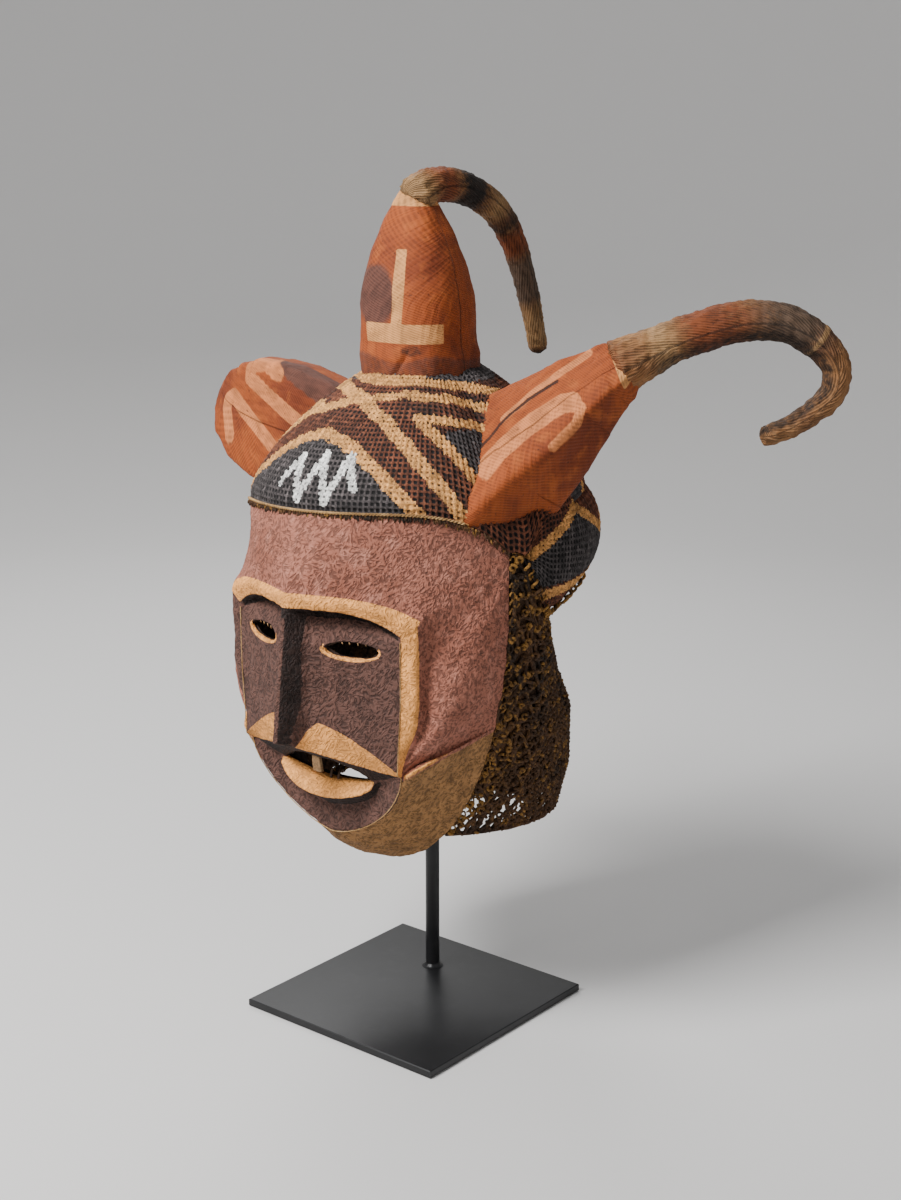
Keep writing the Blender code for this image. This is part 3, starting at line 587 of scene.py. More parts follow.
FACE_FINISH = Finish(
    "bark_cloth_paint", ground=(0.345, 0.128, 0.084), dark=(0.250, 0.086, 0.053),
    light=(0.460, 0.192, 0.135), grain=Grain.WORMS, pit_shade=0.52, depth=0.0013, pitch=0.0012,
    coats=(Coat("plum", PLUM), Coat("olive", OLIVE), Coat("umber", SHADE_UMBER, 0.35),
           Coat("tan", TAN, 0.18)))
LINING_FINISH = Finish(
    "bark_cloth_lining", ground=(0.060, 0.034, 0.022), dark=(0.030, 0.018, 0.012),
    light=(0.090, 0.055, 0.036), grain=Grain.WORMS)
CAP_FINISH = Finish(
    "woven_cap_paint", ground=(0.135, 0.042, 0.020), dark=(0.050, 0.020, 0.013),
    light=(0.215, 0.072, 0.032), grain=Grain.BASKET, pitch=0.0016, depth=0.0006, pit_shade=0.5,
    coats=(Coat("grey", (0.082, 0.069, 0.068), 0.2), Coat("tan", CREAM, 0.10),
           Coat("white", (0.90, 0.88, 0.84), 0.08)))
LOBE_FINISH = Finish(
    "lobe_cloth_paint", ground=(0.290, 0.060, 0.011), dark=(0.165, 0.031, 0.008),
    light=(0.370, 0.090, 0.018), grain=Grain.RIBS, pitch=0.0018, depth=0.0006, pit_shade=0.34,
    coats=(Coat("plum", (0.110, 0.040, 0.026), 0.25, 0.30),
           Coat("pink", (0.600, 0.200, 0.065), 0.10, 0.30),
           Coat("tan", (0.600, 0.270, 0.090), 0.15, 0.20),
           # This umber paints shade: the right lobe's crease line and the crease in the top lobe's fold.
           Coat("umber", (0.055, 0.016, 0.007), 0.30, 0.25)))
HORN_FINISH = Finish(
    "horn_cloth_paint", ground=(0.250, 0.112, 0.040), dark=(0.120, 0.050, 0.022),
    light=(0.360, 0.185, 0.075), grain=Grain.RIBS, pitch=0.0022, depth=0.0009, pit_shade=0.58,
    slant=(0.42, 1.0),
    coats=(Coat("red", (0.200, 0.052, 0.016), 0.40, 0.40),
           Coat("grey", (0.115, 0.070, 0.044), 0.40, 0.40),
           Coat("tan", (0.330, 0.185, 0.078), 0.35, 0.36),
           # This umber is a painted band on the top horn, and painted shade inside the right horn's curl.
           Coat("umber", (0.022, 0.013, 0.009), 0.40, 0.36)))
NET_FINISH = Finish(
    "net_fibre", ground=(0.075, 0.033, 0.012), dark=(0.022, 0.012, 0.007),
    light=(0.170, 0.078, 0.024), grain=Grain.FIBRE, pitch=0.0016, depth=0.0006, pit_shade=0.5,
    coats=(Coat("ochre", (0.330, 0.160, 0.034), 0.5, 0.2),))
CORD_FINISH = Finish(
    "twisted_cord", ground=(0.480, 0.280, 0.110), dark=(0.260, 0.140, 0.050),
    light=(0.620, 0.400, 0.180), grain=Grain.FIBRE, pitch=0.0009, depth=0.0002, pit_shade=0.4)
TOOTH_FINISH = Finish(
    "tooth_wood", ground=(0.520, 0.300, 0.140), dark=(0.260, 0.140, 0.070),
    light=(0.640, 0.420, 0.230), grain=Grain.FIBRE, pitch=0.0012, depth=0.0002, pit_shade=0.35,
    coats=(Coat("umber", (0.070, 0.038, 0.022)),))
STEEL_FINISH = Finish(
    "satin_black_steel", ground=(0.012, 0.012, 0.013), dark=(0.009, 0.009, 0.010),
    light=(0.017, 0.017, 0.018), grain=Grain.STEEL, roughness=0.36, depth=0.00002, pit_shade=0.1)


@dataclass
class FaceForm:
    """The carved face's outlines, in head millimetres."""

    radius: float = 147.0
    back_forward: float = 65.0
    back_half_width: float = 132.0
    back_centre: float = 238.0
    back_top: float = 277.0
    hem: float = 305.5
    hem_tilt: float = 8.6
    brow: float = 235.5
    brow_forward: float = 176.0
    brow_slope: float = 0.45
    brow_fall: float = 17.5
    brow_depth: float = 17.0
    band: float = 12.5
    panel_half: float = 85.0
    mouth_half: float = 80.5
    mouth: float = 104.0
    mouth_middle: float = 93.2
    chin_drop: float = 65.0
    eye_inner: float = 25.0
    eye_outer: float = 68.0
    eye: float = 204.8
    eye_up: float = 5.8
    eye_down: float = 6.8
    opening_half: float = 46.0
    lip_half: float = 51.0
    nose_half: float = 2.5
    nose_foot: float = 12.5
    ridge_angle: float = 64.4
    wall: float = 5.5

    @property
    def edge_angle(self) -> float:
        """The angle from the front at which face meets net, in degrees."""
        return 90.0 - math.degrees(math.asin(self.back_forward / self.radius))

    def brow_lip(self, share: float) -> Point:
        """The brow's lower edge, from the middle out to the panel's corner."""
        across = self.panel_half * share
        return across, self.brow_forward - self.brow_slope * across, self.brow - self.brow_fall * share ** 4

    def disc_outline(self, share: float) -> Point:
        """The round chin plate's edge, from the bottom up to the mouth's corner."""
        drop = (1.0 - share ** 1.6) ** (1.0 / 1.6) if share < 1.0 else 0.0
        return self.mouth_half * share, 124.0 + 8.0 * share ** 3, self.mouth - self.chin_drop * drop

    def back_edge(self, angle: float) -> Point:
        """The shell's back edge, by the angle from the chin round the side."""
        turn = math.radians(angle)
        return (self.back_half_width * math.sin(turn), self.back_forward,
                self.back_centre * (1.0 - math.cos(turn)))

    def half_width_at(self, height: float) -> float:
        """The back edge's half width at a height."""
        fall = max(self.back_centre - height, 0.0) / self.back_centre
        return self.back_half_width * math.sqrt(max(1.0 - fall * fall, 0.0))

    def hem_height(self, angle: float) -> float:
        """The hem's height, a little higher on the right, falling to the ears."""
        fall = min(abs(angle) / self.edge_angle, 1.0) ** 5
        tilt = self.hem_tilt * math.sin(math.radians(angle)) * (1.0 - fall)
        return self.hem - (self.hem - self.back_top) * fall + tilt

    def edge_half(self, height: float) -> float:
        """The panel's half width, drawn in to the mouth's corner."""
        return self.mouth_half + (self.panel_half - self.mouth_half) * ease((height - self.mouth) / 50.0)

    def eye_lens(self, across: float) -> float:
        """Half the eye's opening: 0 at its corners, negative outside them."""
        middle = 0.5 * (self.eye_inner + self.eye_outer)
        x = (abs(across) - middle) / (self.eye_outer - middle)
        return math.sqrt(max(1.0 - x * x, 0.0)) if abs(x) < 1.0 else 1.0 - abs(x)

    def panel_forward(self, across: float) -> float:
        """How far forward the flat panel stands, less towards the sides."""
        return 170.0 - 0.38 * max(across, self.nose_foot)

    def with_nose(self, across: float, forward: float, height: float) -> float:
        """Raise the long wedge of the nose over the panel."""
        if across >= self.nose_foot:
            return forward
        flank = max((across - self.nose_half) / (self.nose_foot - self.nose_half), 0.0)
        return mix(176.0 + 13.0 * (self.brow - height) / 105.5, forward, flank)

    def mouth_line(self, share: float) -> float:
        """Height of the line on which the lips meet the chin plate."""
        start = self.opening_half / self.mouth_half
        return self.mouth_middle + (self.mouth - self.mouth_middle) * ease((share - start) / (1.0 - start))

    def key_row(self, row: int, share: float) -> tuple[Point, float]:
        """One key row: its front point and its wall's back.

        Args:
            row: 0 at the brow's lip to 11 at the chin plate's edge.
            share: Of the half width, 0 at the middle.

        Returns:
            The front point, and how far forward the wall's back is there.
        """
        wall = self.wall
        if row <= 4:
            across = self.panel_half * share
            _, lip_forward, lip_height = self.brow_lip(share)
            under = self.brow_depth * (1.0 - share ** 4)
            if row == 0:
                return (across, lip_forward, lip_height), lip_forward - under - wall
            if row == 1:
                height = lip_height - 3.0
                forward = self.brow_lip(max(share, 0.142))[1] - under
                return (across, self.with_nose(across, forward, height), height), forward - wall
            lens = self.eye_lens(across)
            if row == 2:
                height = self.eye + (self.eye_up * lens if lens > 0.0 else -6.0 * lens)
            elif row == 3:
                height = self.eye - (self.eye_down * lens if lens > 0.0 else -6.0 * lens)
            else:
                height = 165.0
            hollow = (1.0 + 2.0 * max(lens, 0.0), 1.0, 2.0)[row - 2]
            forward = self.panel_forward(across) - hollow * math.sin(math.pi * share)
            return (across, self.with_nose(across, forward, height), height), forward - wall
        if row == 5:
            apex, reach = 20.5, 81.5
            across = mix(self.mouth_half, reach, share) * share
            if across < apex:
                height = 144.5 - 14.5 * min((apex - across) / 14.5, 1.0)
            else:
                height = 144.5 - 36.0 * ((across - apex) / (reach - apex)) ** 1.4
            forward = self.panel_forward(across) + 1.0 - 2.0 * share
            return (across, self.with_nose(across, forward, 130.0), height), forward - wall - 1.0
        across = self.mouth_half * share
        rest = (1.0 - share) ** 1.5
        if row == 6:
            return (across, 132.0 + 41.0 * rest, self.mouth + 20.0 * rest), 126.5 + 24.0 * rest
        start = self.opening_half / self.mouth_half
        middle = self.mouth_line(share)
        side = 1.0 - share
        if share < start:
            bow = 1.0 - (share / start) ** 2
            if row == 7:
                return (across, 129.0 + 16.0 * bow, middle + 16.0 * bow ** 0.8), 123.5 + 12.0 * bow
            if row == 8:
                return (across, 129.0 + 6.5 * bow, middle - 4.0 * bow), 123.0 + 1.0 * bow
        outward = 129.0 + 3.0 * ease((share - start) / (1.0 - start))
        if row == 7:
            return (across, outward, middle + 5.0 * (share - start) * side), outward - wall
        if row == 8:
            return (across, outward, middle - 5.0 * (share - start) * side), outward - wall
        lip = self.lip_half / self.mouth_half
        if row in (9, 10):
            if share < lip:
                bow = 1.0 - (share / lip) ** 2
                height, forward = 93.0 - 18.0 * math.sqrt(bow), 131.0 + 13.0 * bow
            else:
                height, forward = self.mouth - 30.0 * side, outward - side
            if row == 10:
                height -= 11.0 * side
                forward = mix(125.5, forward, ease((share - 0.55) / 0.45))
            return (across, forward, height), mix(119.5, 126.5, share ** 3)
        return self.disc_outline(share), mix(118.0, 126.5, share ** 3)

    def middle_point(self, row: float, share: float) -> tuple[Point, float]:
        """A point of the face's middle, between two key rows."""
        low = min(int(row), 10)
        rest = row - low
        (a, b, c), back = self.key_row(low, share)
        if rest <= 0.0:
            return (a, b, c), back
        (d, e, f), next_back = self.key_row(low + 1, share)
        return (mix(a, d, rest), mix(b, e, rest), mix(c, f, rest)), mix(back, next_back, rest)

    def strip_edge(self, height: float) -> Point:
        """The outer edge of the strip beside the panel."""
        grown = ease((height - self.mouth) / 70.0)
        rise = ease((height - 205.0) / 13.0)
        return self.edge_half(height) + 12.75 * grown, 132.0 + 3.0 * grown, height + 7.5 * rise

    def strip_foot(self, height: float) -> Point:
        """The crease behind the strip, where the cheek begins."""
        grown = ease((height - self.mouth) / 50.0)
        rise = ease((height - 203.0) / 15.0)
        return (mix(self.edge_half(height) + 12.5 * grown, 100.3, rise),
                mix(132.0 - 11.5 * grown, 129.3, rise), height + 16.0 * rise)

    def ring_line(self, kind: "Way", value: float, sign: int) -> tuple[Point, Point, Point, Point, float]:
        """The way from the panel's edge out to the shell's edge.

        Args:
            kind: Which side of the panel it starts from.
            value: The share along that side, or the height.
            sign: -1 left, 1 right.

        Returns:
            The rim, the foot behind it, the outer end, the bulge between foot
            and end, and how early it bulges.
        """
        if kind is Way.DISC:
            across, forward, height = self.disc_outline(value)
            rim = (across, mix(forward - 2.0, forward, value ** 6), height)
            foot = (across, mix(forward - 4.5, forward, value ** 6), height + 0.5 * (1 - value))
            swell = mix(7.0, 1.0, ease(value / 0.85))
            ridge = ease((value - 0.88) / 0.12)
            bulge = (mix(0.5 * swell * value, 8.0, ridge), 0.4 * swell * (1 - ridge),
                     mix(-swell * (1 - value), 6.5, ridge))
            return rim, foot, self.back_edge(self.ridge_angle * value), bulge, 0.62
        if kind is Way.SIDE:
            share = (value - self.mouth) / (218.0 - self.mouth)
            height = mix(self.back_edge(self.ridge_angle)[2], self.back_top, share)
            end = (self.half_width_at(height), self.back_forward, height)
            near = 1.0 - ease(share / 0.22)
            full = 6.0 + 5.0 * math.sin(math.pi * min(share / 0.8, 1.0))
            cheek = full - 8.0 * ease((share - 0.72) / 0.28)
            bulge = (mix(cheek, 8.0, near), 0.8 * cheek * (1 - near), 6.5 * near)
            return self.strip_edge(value), self.strip_foot(value), end, bulge, 0.62
        across, forward, height = self.brow_lip(value)
        rim = (across * 1.15, forward + 0.5 - 2.0 * value ** 4, height + 0.6 * self.band)
        foot = (across * 1.18, forward - 4.0 - 4.5 * value ** 4, height + self.band + 3.5 * value ** 4)
        angle = self.edge_angle * value ** 0.9
        turn = math.radians(angle)
        end = (self.radius * math.sin(turn), self.radius * math.cos(turn), self.hem_height(sign * angle))
        corner = ease((value - 0.5) / 0.5)
        bulge = (mix(3.5 * value, -2.0, corner), mix(2.5, -1.6, corner), 0.0)
        return rim, foot, end, bulge, mix(1.0, 0.62, value ** 10)


class Way(Enum):
    """Where a line of the face's outer ring starts."""

    DISC = "the chin plate's edge"
    SIDE = "the panel's side"
    TOP = "the brow's lip"


@dataclass
class Face:
    """The face's outside skin, its lining, and the small things in its openings."""

    form: FaceForm
    head: Head
    pitch: float = 1.45
    row_spans: tuple[float, ...] = (17.0, 20.0, 15.0, 34.0, 38.0, 28.0, 16.0, 12.0, 17.0, 14.0, 26.0)
    ring_steps: int = 52
    band_steps: int = 5
    wall_steps: int = 4
    crest: float = 6.2
    valley: float = 4.0
    keys: tuple[float, ...] = (0.0, 0.0284, 0.142, 0.235, 25 / 85, 0.42, 46 / 80.5, 0.68, 0.8, 0.88, 1.0)

    def _rows(self) -> list[float]:
        """Places of the fine rows, in key rows."""
        rows = [0.0]
        for k, span in enumerate(self.row_spans):
            count = math.ceil(span / self.pitch)
            rows += [k + n / count for n in range(1, count + 1)]
        return rows

    def _columns(self) -> list[float]:
        """Places of the fine columns, as shares of the half width."""
        return stops(self.keys, self.pitch / self.form.panel_half)

    def _middle_marks(self, row: float, share: float, sign: int, point: Point) -> dict[str, float]:
        """Paint of the face's middle at one point; its umber is painted shade under the brow and lips and on
        the nose's right flank.
        """
        form = self.form
        across, _, height = point
        shadow = float(step_down(row, 1.22, 0.12)) if share < 0.97 else 0.0
        width = mix(10.5, 3.0, min(max((row - 4.2) / 1.7, 0.0), 1.0))
        # Painted shade on the nose's right flank, the side turned from the light.
        beside_nose = float(step_down(across, width, 4.0) * step_down(-across, -2.2, 1.0))
        flank = beside_nose * (sign > 0) * (0.9 <= row <= 5.9)
        start = mix(13.0, 3.5, min(max(row - 5.0, 0.0), 1.0))
        upper = float(step_down(abs(row - 5.5), 0.5, 0.08)) * float(step_down(-across, -start, 2.0))
        # Painted shade under the upper lip.
        under = float(step_down(abs(row - 6.5), 0.46, 0.08))
        lip = form.lip_half / form.mouth_half
        scoop = float(step_down(abs(row - 8.55), 0.55, 0.08)) * float(step_down(share, lip - 0.02, 0.02))
        # Painted shade below the lower lip.
        below = float(step_down(abs(row - 9.6), 0.45, 0.1)) * float(step_down(share, lip + 0.05, 0.1))
        middle = 0.5 * (form.eye_inner + form.eye_outer)
        reach = math.hypot((across - middle) / (form.eye_outer - middle + 1.6),
                           (height - form.eye + 0.6) / 7.8)
        rim = float(step_down(reach, 1.0, 0.05)) if height < form.eye + 2.0 else 0.0
        tan = max(upper, scoop, rim)
        return {"tan": tan, "umber": max(shadow, flank, under * (1 - tan), below) * (1 - rim),
                "plum": 1.0}

    def _middle(self, sign: int) -> Skin:
        """The brow's underside, panel, nose, lips and chin plate of one side."""
        form = self.form
        rows, columns = self._rows(), self._columns()
        places = np.empty((len(rows), len(columns), 3))
        marks = {name: np.zeros(places.shape[:2]) for name in ("tan", "umber", "plum")}
        for r, row in enumerate(rows):
            for c, share in enumerate(columns):
                (across, forward, height), _ = form.middle_point(row, share)
                places[r, c] = (sign * across, forward, height)
                for name, value in self._middle_marks(row, share, sign, (across, forward, height)).items():
                    marks[name][r, c] = value

        def keep(r: int, c: int) -> bool:
            """Leave out the eye and the mouth."""
            row, share = 0.5 * (rows[r] + rows[r + 1]), 0.5 * (columns[c] + columns[c + 1])
            eye = 2 < row < 3 and self.keys[4] < share < self.keys[8]
            mouth = 7 < row < 8 and share < self.keys[6]
            return not (eye or mouth)

        return Skin.grid(places, marks, keep)

    def _walls(self, sign: int) -> list[Skin]:
        """The cut edges of eye and mouth, from front to back."""
        form = self.form
        sheets = []
        for row, low, high in ((2, self.keys[4], self.keys[8]), (3, self.keys[4], self.keys[8]),
                               (7, 0.0, self.keys[6]), (8, 0.0, self.keys[6])):
            shares = [share for share in self._columns() if low - 1e-9 <= share <= high + 1e-9]
            lines = np.empty((self.wall_steps + 1, len(shares), 3))
            for c, share in enumerate(shares):
                (across, forward, height), back = form.middle_point(float(row), share)
                for k in range(self.wall_steps + 1):
                    lines[k, c] = (sign * across, mix(forward, back, k / self.wall_steps), height)
            # Painted shade: the walls inside eye and mouth are umber, except the front of the lower walls,
            # which keeps the rim's tan.
            tan = np.zeros(lines.shape[:2])
            if row in (3, 8):
                tan[:3] = 1.0
            sheets.append(Skin.grid(lines, {"tan": tan, "umber": 1.0 - tan, "plum": np.ones_like(tan)}))
        return sheets

    def _loop(self) -> list[tuple[Way, float, float, float]]:
        """The panel's edge as (way, value, row, share), bottom, side and top."""
        form = self.form
        columns = self._columns()
        loop = [(Way.DISC, share, 11.0, share) for share in columns]
        for row in reversed([row for row in self._rows() if 0.0 < row < 6.0]):
            loop.append((Way.SIDE, form.middle_point(row, 1.0)[0][2], row, 1.0))
        return loop + [(Way.TOP, share, 0.0, share) for share in reversed(columns)]

    def _ring(self, sign: int) -> Skin:
        """Band, strip, forehead, cheek and jaw of one side."""
        form = self.form
        loop = self._loop()
        shares = [k / self.ring_steps for k in range(1, self.ring_steps + 1)]
        width = 1 + 2 * self.band_steps + len(shares)
        places = np.empty((len(loop), width, 3))
        marks = {name: np.zeros(places.shape[:2]) for name in ("tan", "umber", "plum", "olive")}
        corner = next(k for k, entry in enumerate(loop) if entry[0] is Way.SIDE)
        for k, (kind, value, row, share) in enumerate(loop):
            start = form.middle_point(row, share)[0]
            rim, foot, end, bulge, skew = form.ring_line(kind, value, sign)
            line = [start]
            line += [tuple(mix(a, b, n / self.band_steps) for a, b in zip(start, rim))
                     for n in range(1, self.band_steps + 1)]
            line += [tuple(mix(a, b, n / self.band_steps) for a, b in zip(rim, foot))
                     for n in range(1, self.band_steps + 1)]
            crest = self.crest * math.exp(-((k - corner) / 4.0) ** 2)
            valley = self.valley * math.exp(-((k - corner - 13) / 8.0) ** 2)
            for share_out in shares:
                lift = 4.0 * share_out ** skew * (1.0 - share_out ** skew)
                raised = (crest * ease(share_out / 0.06) * (1.0 - share_out ** 3)
                          - valley * math.exp(-((share_out - 0.10) / 0.16) ** 2))
                push_out = (0.45 * raised, 0.89 * raised, 0.0)
                line.append(tuple(mix(a, b, share_out) + push * lift + rise
                                  for a, b, push, rise in zip(foot, end, bulge, push_out)))
            places[k] = line
            places[k, :, 0] *= sign
            steps = self.band_steps
            if kind is Way.TOP:
                marks["tan"][k, :2 * steps] = 1.0
                marks["tan"][k, 2 * steps - 1] = 0.5
            elif kind is Way.SIDE and value > form.mouth + 1.0:
                marks["tan" if sign > 0 else "plum"][k, :steps + 2] = 1.0
            elif kind is Way.DISC:
                marks["plum"][k, :2 * steps + 1] = 1.0
                marks["olive"][k, 2 * steps:] = 1.0
            # Painted highlight: pale tan, fading outward, along the jaw's crest by the mouth's corner.
            if abs(k - corner - 1) < 3:
                marks["olive"][k, 2 * steps:] = 0.0
                marks["tan"][k, 2 * steps:] = 0.70 - 0.6 * np.linspace(0.0, 1.0, width - 2 * steps)
        brow_end = next(k for k, entry in enumerate(loop) if entry[0] is Way.TOP)
        return Skin.grid(self._softened(places, brow_end), marks)

    def _softened(self, places: np.ndarray, corner: int, reach: int = 42) -> np.ndarray:
        """Blend the forehead into the temple, round the brow band's end.

        Args:
            places: Lines from the panel's edge outwards.
            corner: The line at the band's end.
            reach: How many lines on either side are averaged.

        Returns:
            The same lines, softened near the corner only.
        """
        count, width = places.shape[:2]
        window = np.exp(-0.5 * (np.arange(-reach, reach + 1) / 15.0) ** 2)
        padded = np.pad(places, ((reach, reach), (0, 0), (0, 0)), mode="edge")
        smooth = sum(share * padded[n:n + count] for n, share in enumerate(window / window.sum()))
        near = np.exp(-((np.arange(count) - corner) / 30.0) ** 2)[:, None]
        first = 2 * self.band_steps
        out = np.clip(np.arange(width) - first, 0, None) / (width - 1 - first)
        return mix(places, smooth, (near * np.sin(np.pi * out))[:, :, None])

    def skin(self) -> Skin:
        """The whole outside."""
        parts = []
        for sign in (-1, 1):
            parts += [self._middle(sign), self._ring(sign), *self._walls(sign)]
        return Skin.joined(parts).welded().relaxed(3)

    @staticmethod
    def relief(points: np.ndarray, marks: Marks) -> np.ndarray:
        """Lumps of the cloth under the paint, quieter on the tan."""
        broad = 0.35 * ripple(points, 16.0, 11)
        fine = 0.16 * ripple(points, 4.6, 12)
        return (broad + fine) * (1.0 - 0.6 * marks["tan"])

    def _lining(self) -> Skin:
        """The inside of the shell, plainer."""
        form = self.form
        sheets = []
        columns = list(self.keys)
        for sign in (-1, 1):
            inside = np.empty((12, len(columns), 3))
            for row in range(12):
                for c, share in enumerate(columns):
                    (across, _, height), back = form.key_row(row, share)
                    if row == 11:
                        across *= mix(0.96, 1.0, share ** 4)
                        height += 3.0 * (1 - share)
                    inside[row, c] = (sign * across, back, height)
            eye, mouth = range(4, 8), range(0, 6)
            sheets.append(Skin.grid(inside, keep=lambda r, c: not (
                (r == 2 and c in eye) or (r == 7 and c in mouth))))
            loop = [(Way.DISC, share, 11, c) for c, share in enumerate(columns)]
            loop += [(Way.SIDE, form.key_row(row, 1.0)[0][2], row, 10) for row in (5, 4, 3, 2, 1)]
            loop += [(Way.TOP, columns[c], 0, c) for c in range(10, -1, -1)]
            out = np.empty((len(loop), 8, 3))
            centre = np.array([0.0, 15.0, 168.0])
            for k, (kind, value, row, c) in enumerate(loop):
                rim, foot, end, bulge, skew = form.ring_line(kind, value, sign)
                start = inside[row, c] * np.array([sign, 1.0, 1.0])
                out[k, 0] = start
                spots = [np.array(rim), np.array(foot)]
                for share_out in (0.12, 0.30, 0.50, 0.75, 1.0):
                    lift = 4.0 * share_out ** skew * (1.0 - share_out ** skew)
                    spots.append(mix(np.array(foot), np.array(end), share_out) + np.array(bulge) * lift)
                for n, spot in enumerate(spots, start=1):
                    way = (spot - centre) / np.linalg.norm(spot - centre)
                    near = spot - way * form.wall * 1.05
                    if n == len(spots):
                        near[1] = max(near[1], form.back_forward) if kind is not Way.TOP else near[1]
                        near[2] = spot[2] if kind is Way.TOP else near[2]
                    out[k, n] = near
                out[k, 1] = mix(start, out[k, 2], 0.5)
                out[k, :, 0] *= sign
            sheets.append(Skin.grid(out))
        return Skin.joined(sheets).welded(0.05)

    def _pegs(self) -> Skin:
        """Small pegs in the eyes' upper edges and in the mouth."""
        form = self.form
        dice = np.random.default_rng(5)
        parts = []
        for sign in (-1, 1):
            for across in (38.0, 43.5, 50.0, 56.0):
                top = form.eye + 5.6 * form.eye_lens(across)
                forward = form.panel_forward(across) - 4.2
                long = dice.uniform(1.4, 2.6)
                path = np.array([(sign * across, forward, top), (sign * across, forward - 0.6, top - long)])
                parts.append(rope(path, (0.5, 0.35), 7))
        for across, long in ((7.5, 7.5), (15.0, 6.0)):
            bow = 1.0 - (across / form.opening_half) ** 2
            foot = form.mouth_line(across / form.mouth_half) - 4.0 * bow
            forward = 127.5 + 6.0 * bow
            path = spline([(across, forward, foot - 1.0), (across + 0.8, forward + 0.4, foot + long * 0.5),
                           (across + 1.2, forward - 0.8, foot + long)], 6)
            parts.append(rope(path, np.linspace(1.3, 0.8, 7), 8, umber=1.0))
        return Skin.joined(parts)

    def _thread(self) -> Skin:
        """The fine thread along the chin plate's edge and the panel's side."""
        form = self.form
        side = [form.disc_outline(share) for share in np.linspace(0.0, 1.0, 40)]
        side += [form.middle_point(row, 1.0)[0] for row in np.linspace(5.6, 1.0, 60)]
        right = np.array(side) + np.array([0.0, 0.35, 0.0])
        left = right * np.array([-1.0, 1.0, 1.0])
        line = np.concatenate([left[::-1], right[1:]])
        line += 0.12 * np.stack([ripple(line, 5.0, 20 + k) for k in range(3)], axis=1)
        return rope(line, 0.42, 5)

    def make(self) -> list[bpy.types.Object]:
        """Build the face's pieces."""
        skin = self.skin().build("face_skin", self.head, FACE_FINISH.material(), self.relief)
        lining = self._lining().build("face_lining", self.head, LINING_FINISH.material())
        pegs = self._pegs().build("face_pegs", self.head, TOOTH_FINISH.material())
        thread = self._thread().build("chin_thread", self.head, CORD_FINISH.material())
        for piece in (skin, lining):
            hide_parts("face_shell")
        return [skin, lining, pegs, thread]


@dataclass
class Tooth:
    """The one broad tooth, slightly worn and rounded."""

    head: Head
    across: float = -8.0
    foot: float = 90.1
    top: float = 104.0
    half_width: float = 4.9
    half_depth: float = 1.9
    around: int = 28

    def make(self) -> list[bpy.types.Object]:
        """Build the tooth."""
        levels = np.linspace(0.0, 1.0, 14)
        rings = np.empty((len(levels), self.around, 3))
        for r, level in enumerate(levels):
            taper = mix(1.0, 0.80, level) * (1.0 - max(level - 0.86, 0.0) ** 2 * 14.0)
            for k in range(self.around):
                turn = TAU * k / self.around
                reach = (abs(math.cos(turn)) ** 5 + abs(math.sin(turn)) ** 5) ** -0.2
                rings[r, k] = (self.across + self.half_width * taper * reach * math.cos(turn),
                               131.5 + 2.0 * level + self.half_depth * reach * math.sin(turn),
                               mix(self.foot, self.top, level))
        skin = Skin.grid(rings, closed=True)
        last = len(skin.points) - self.around
        skin.faces += [tuple(range(self.around))[::-1], tuple(range(last, last + self.around))]
        made = skin.build("tooth_worn", self.head, TOOTH_FINISH.material(),
                          lambda points, _: 0.14 * ripple(points, 3.0, 31))
        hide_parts("tooth")
        return [made]


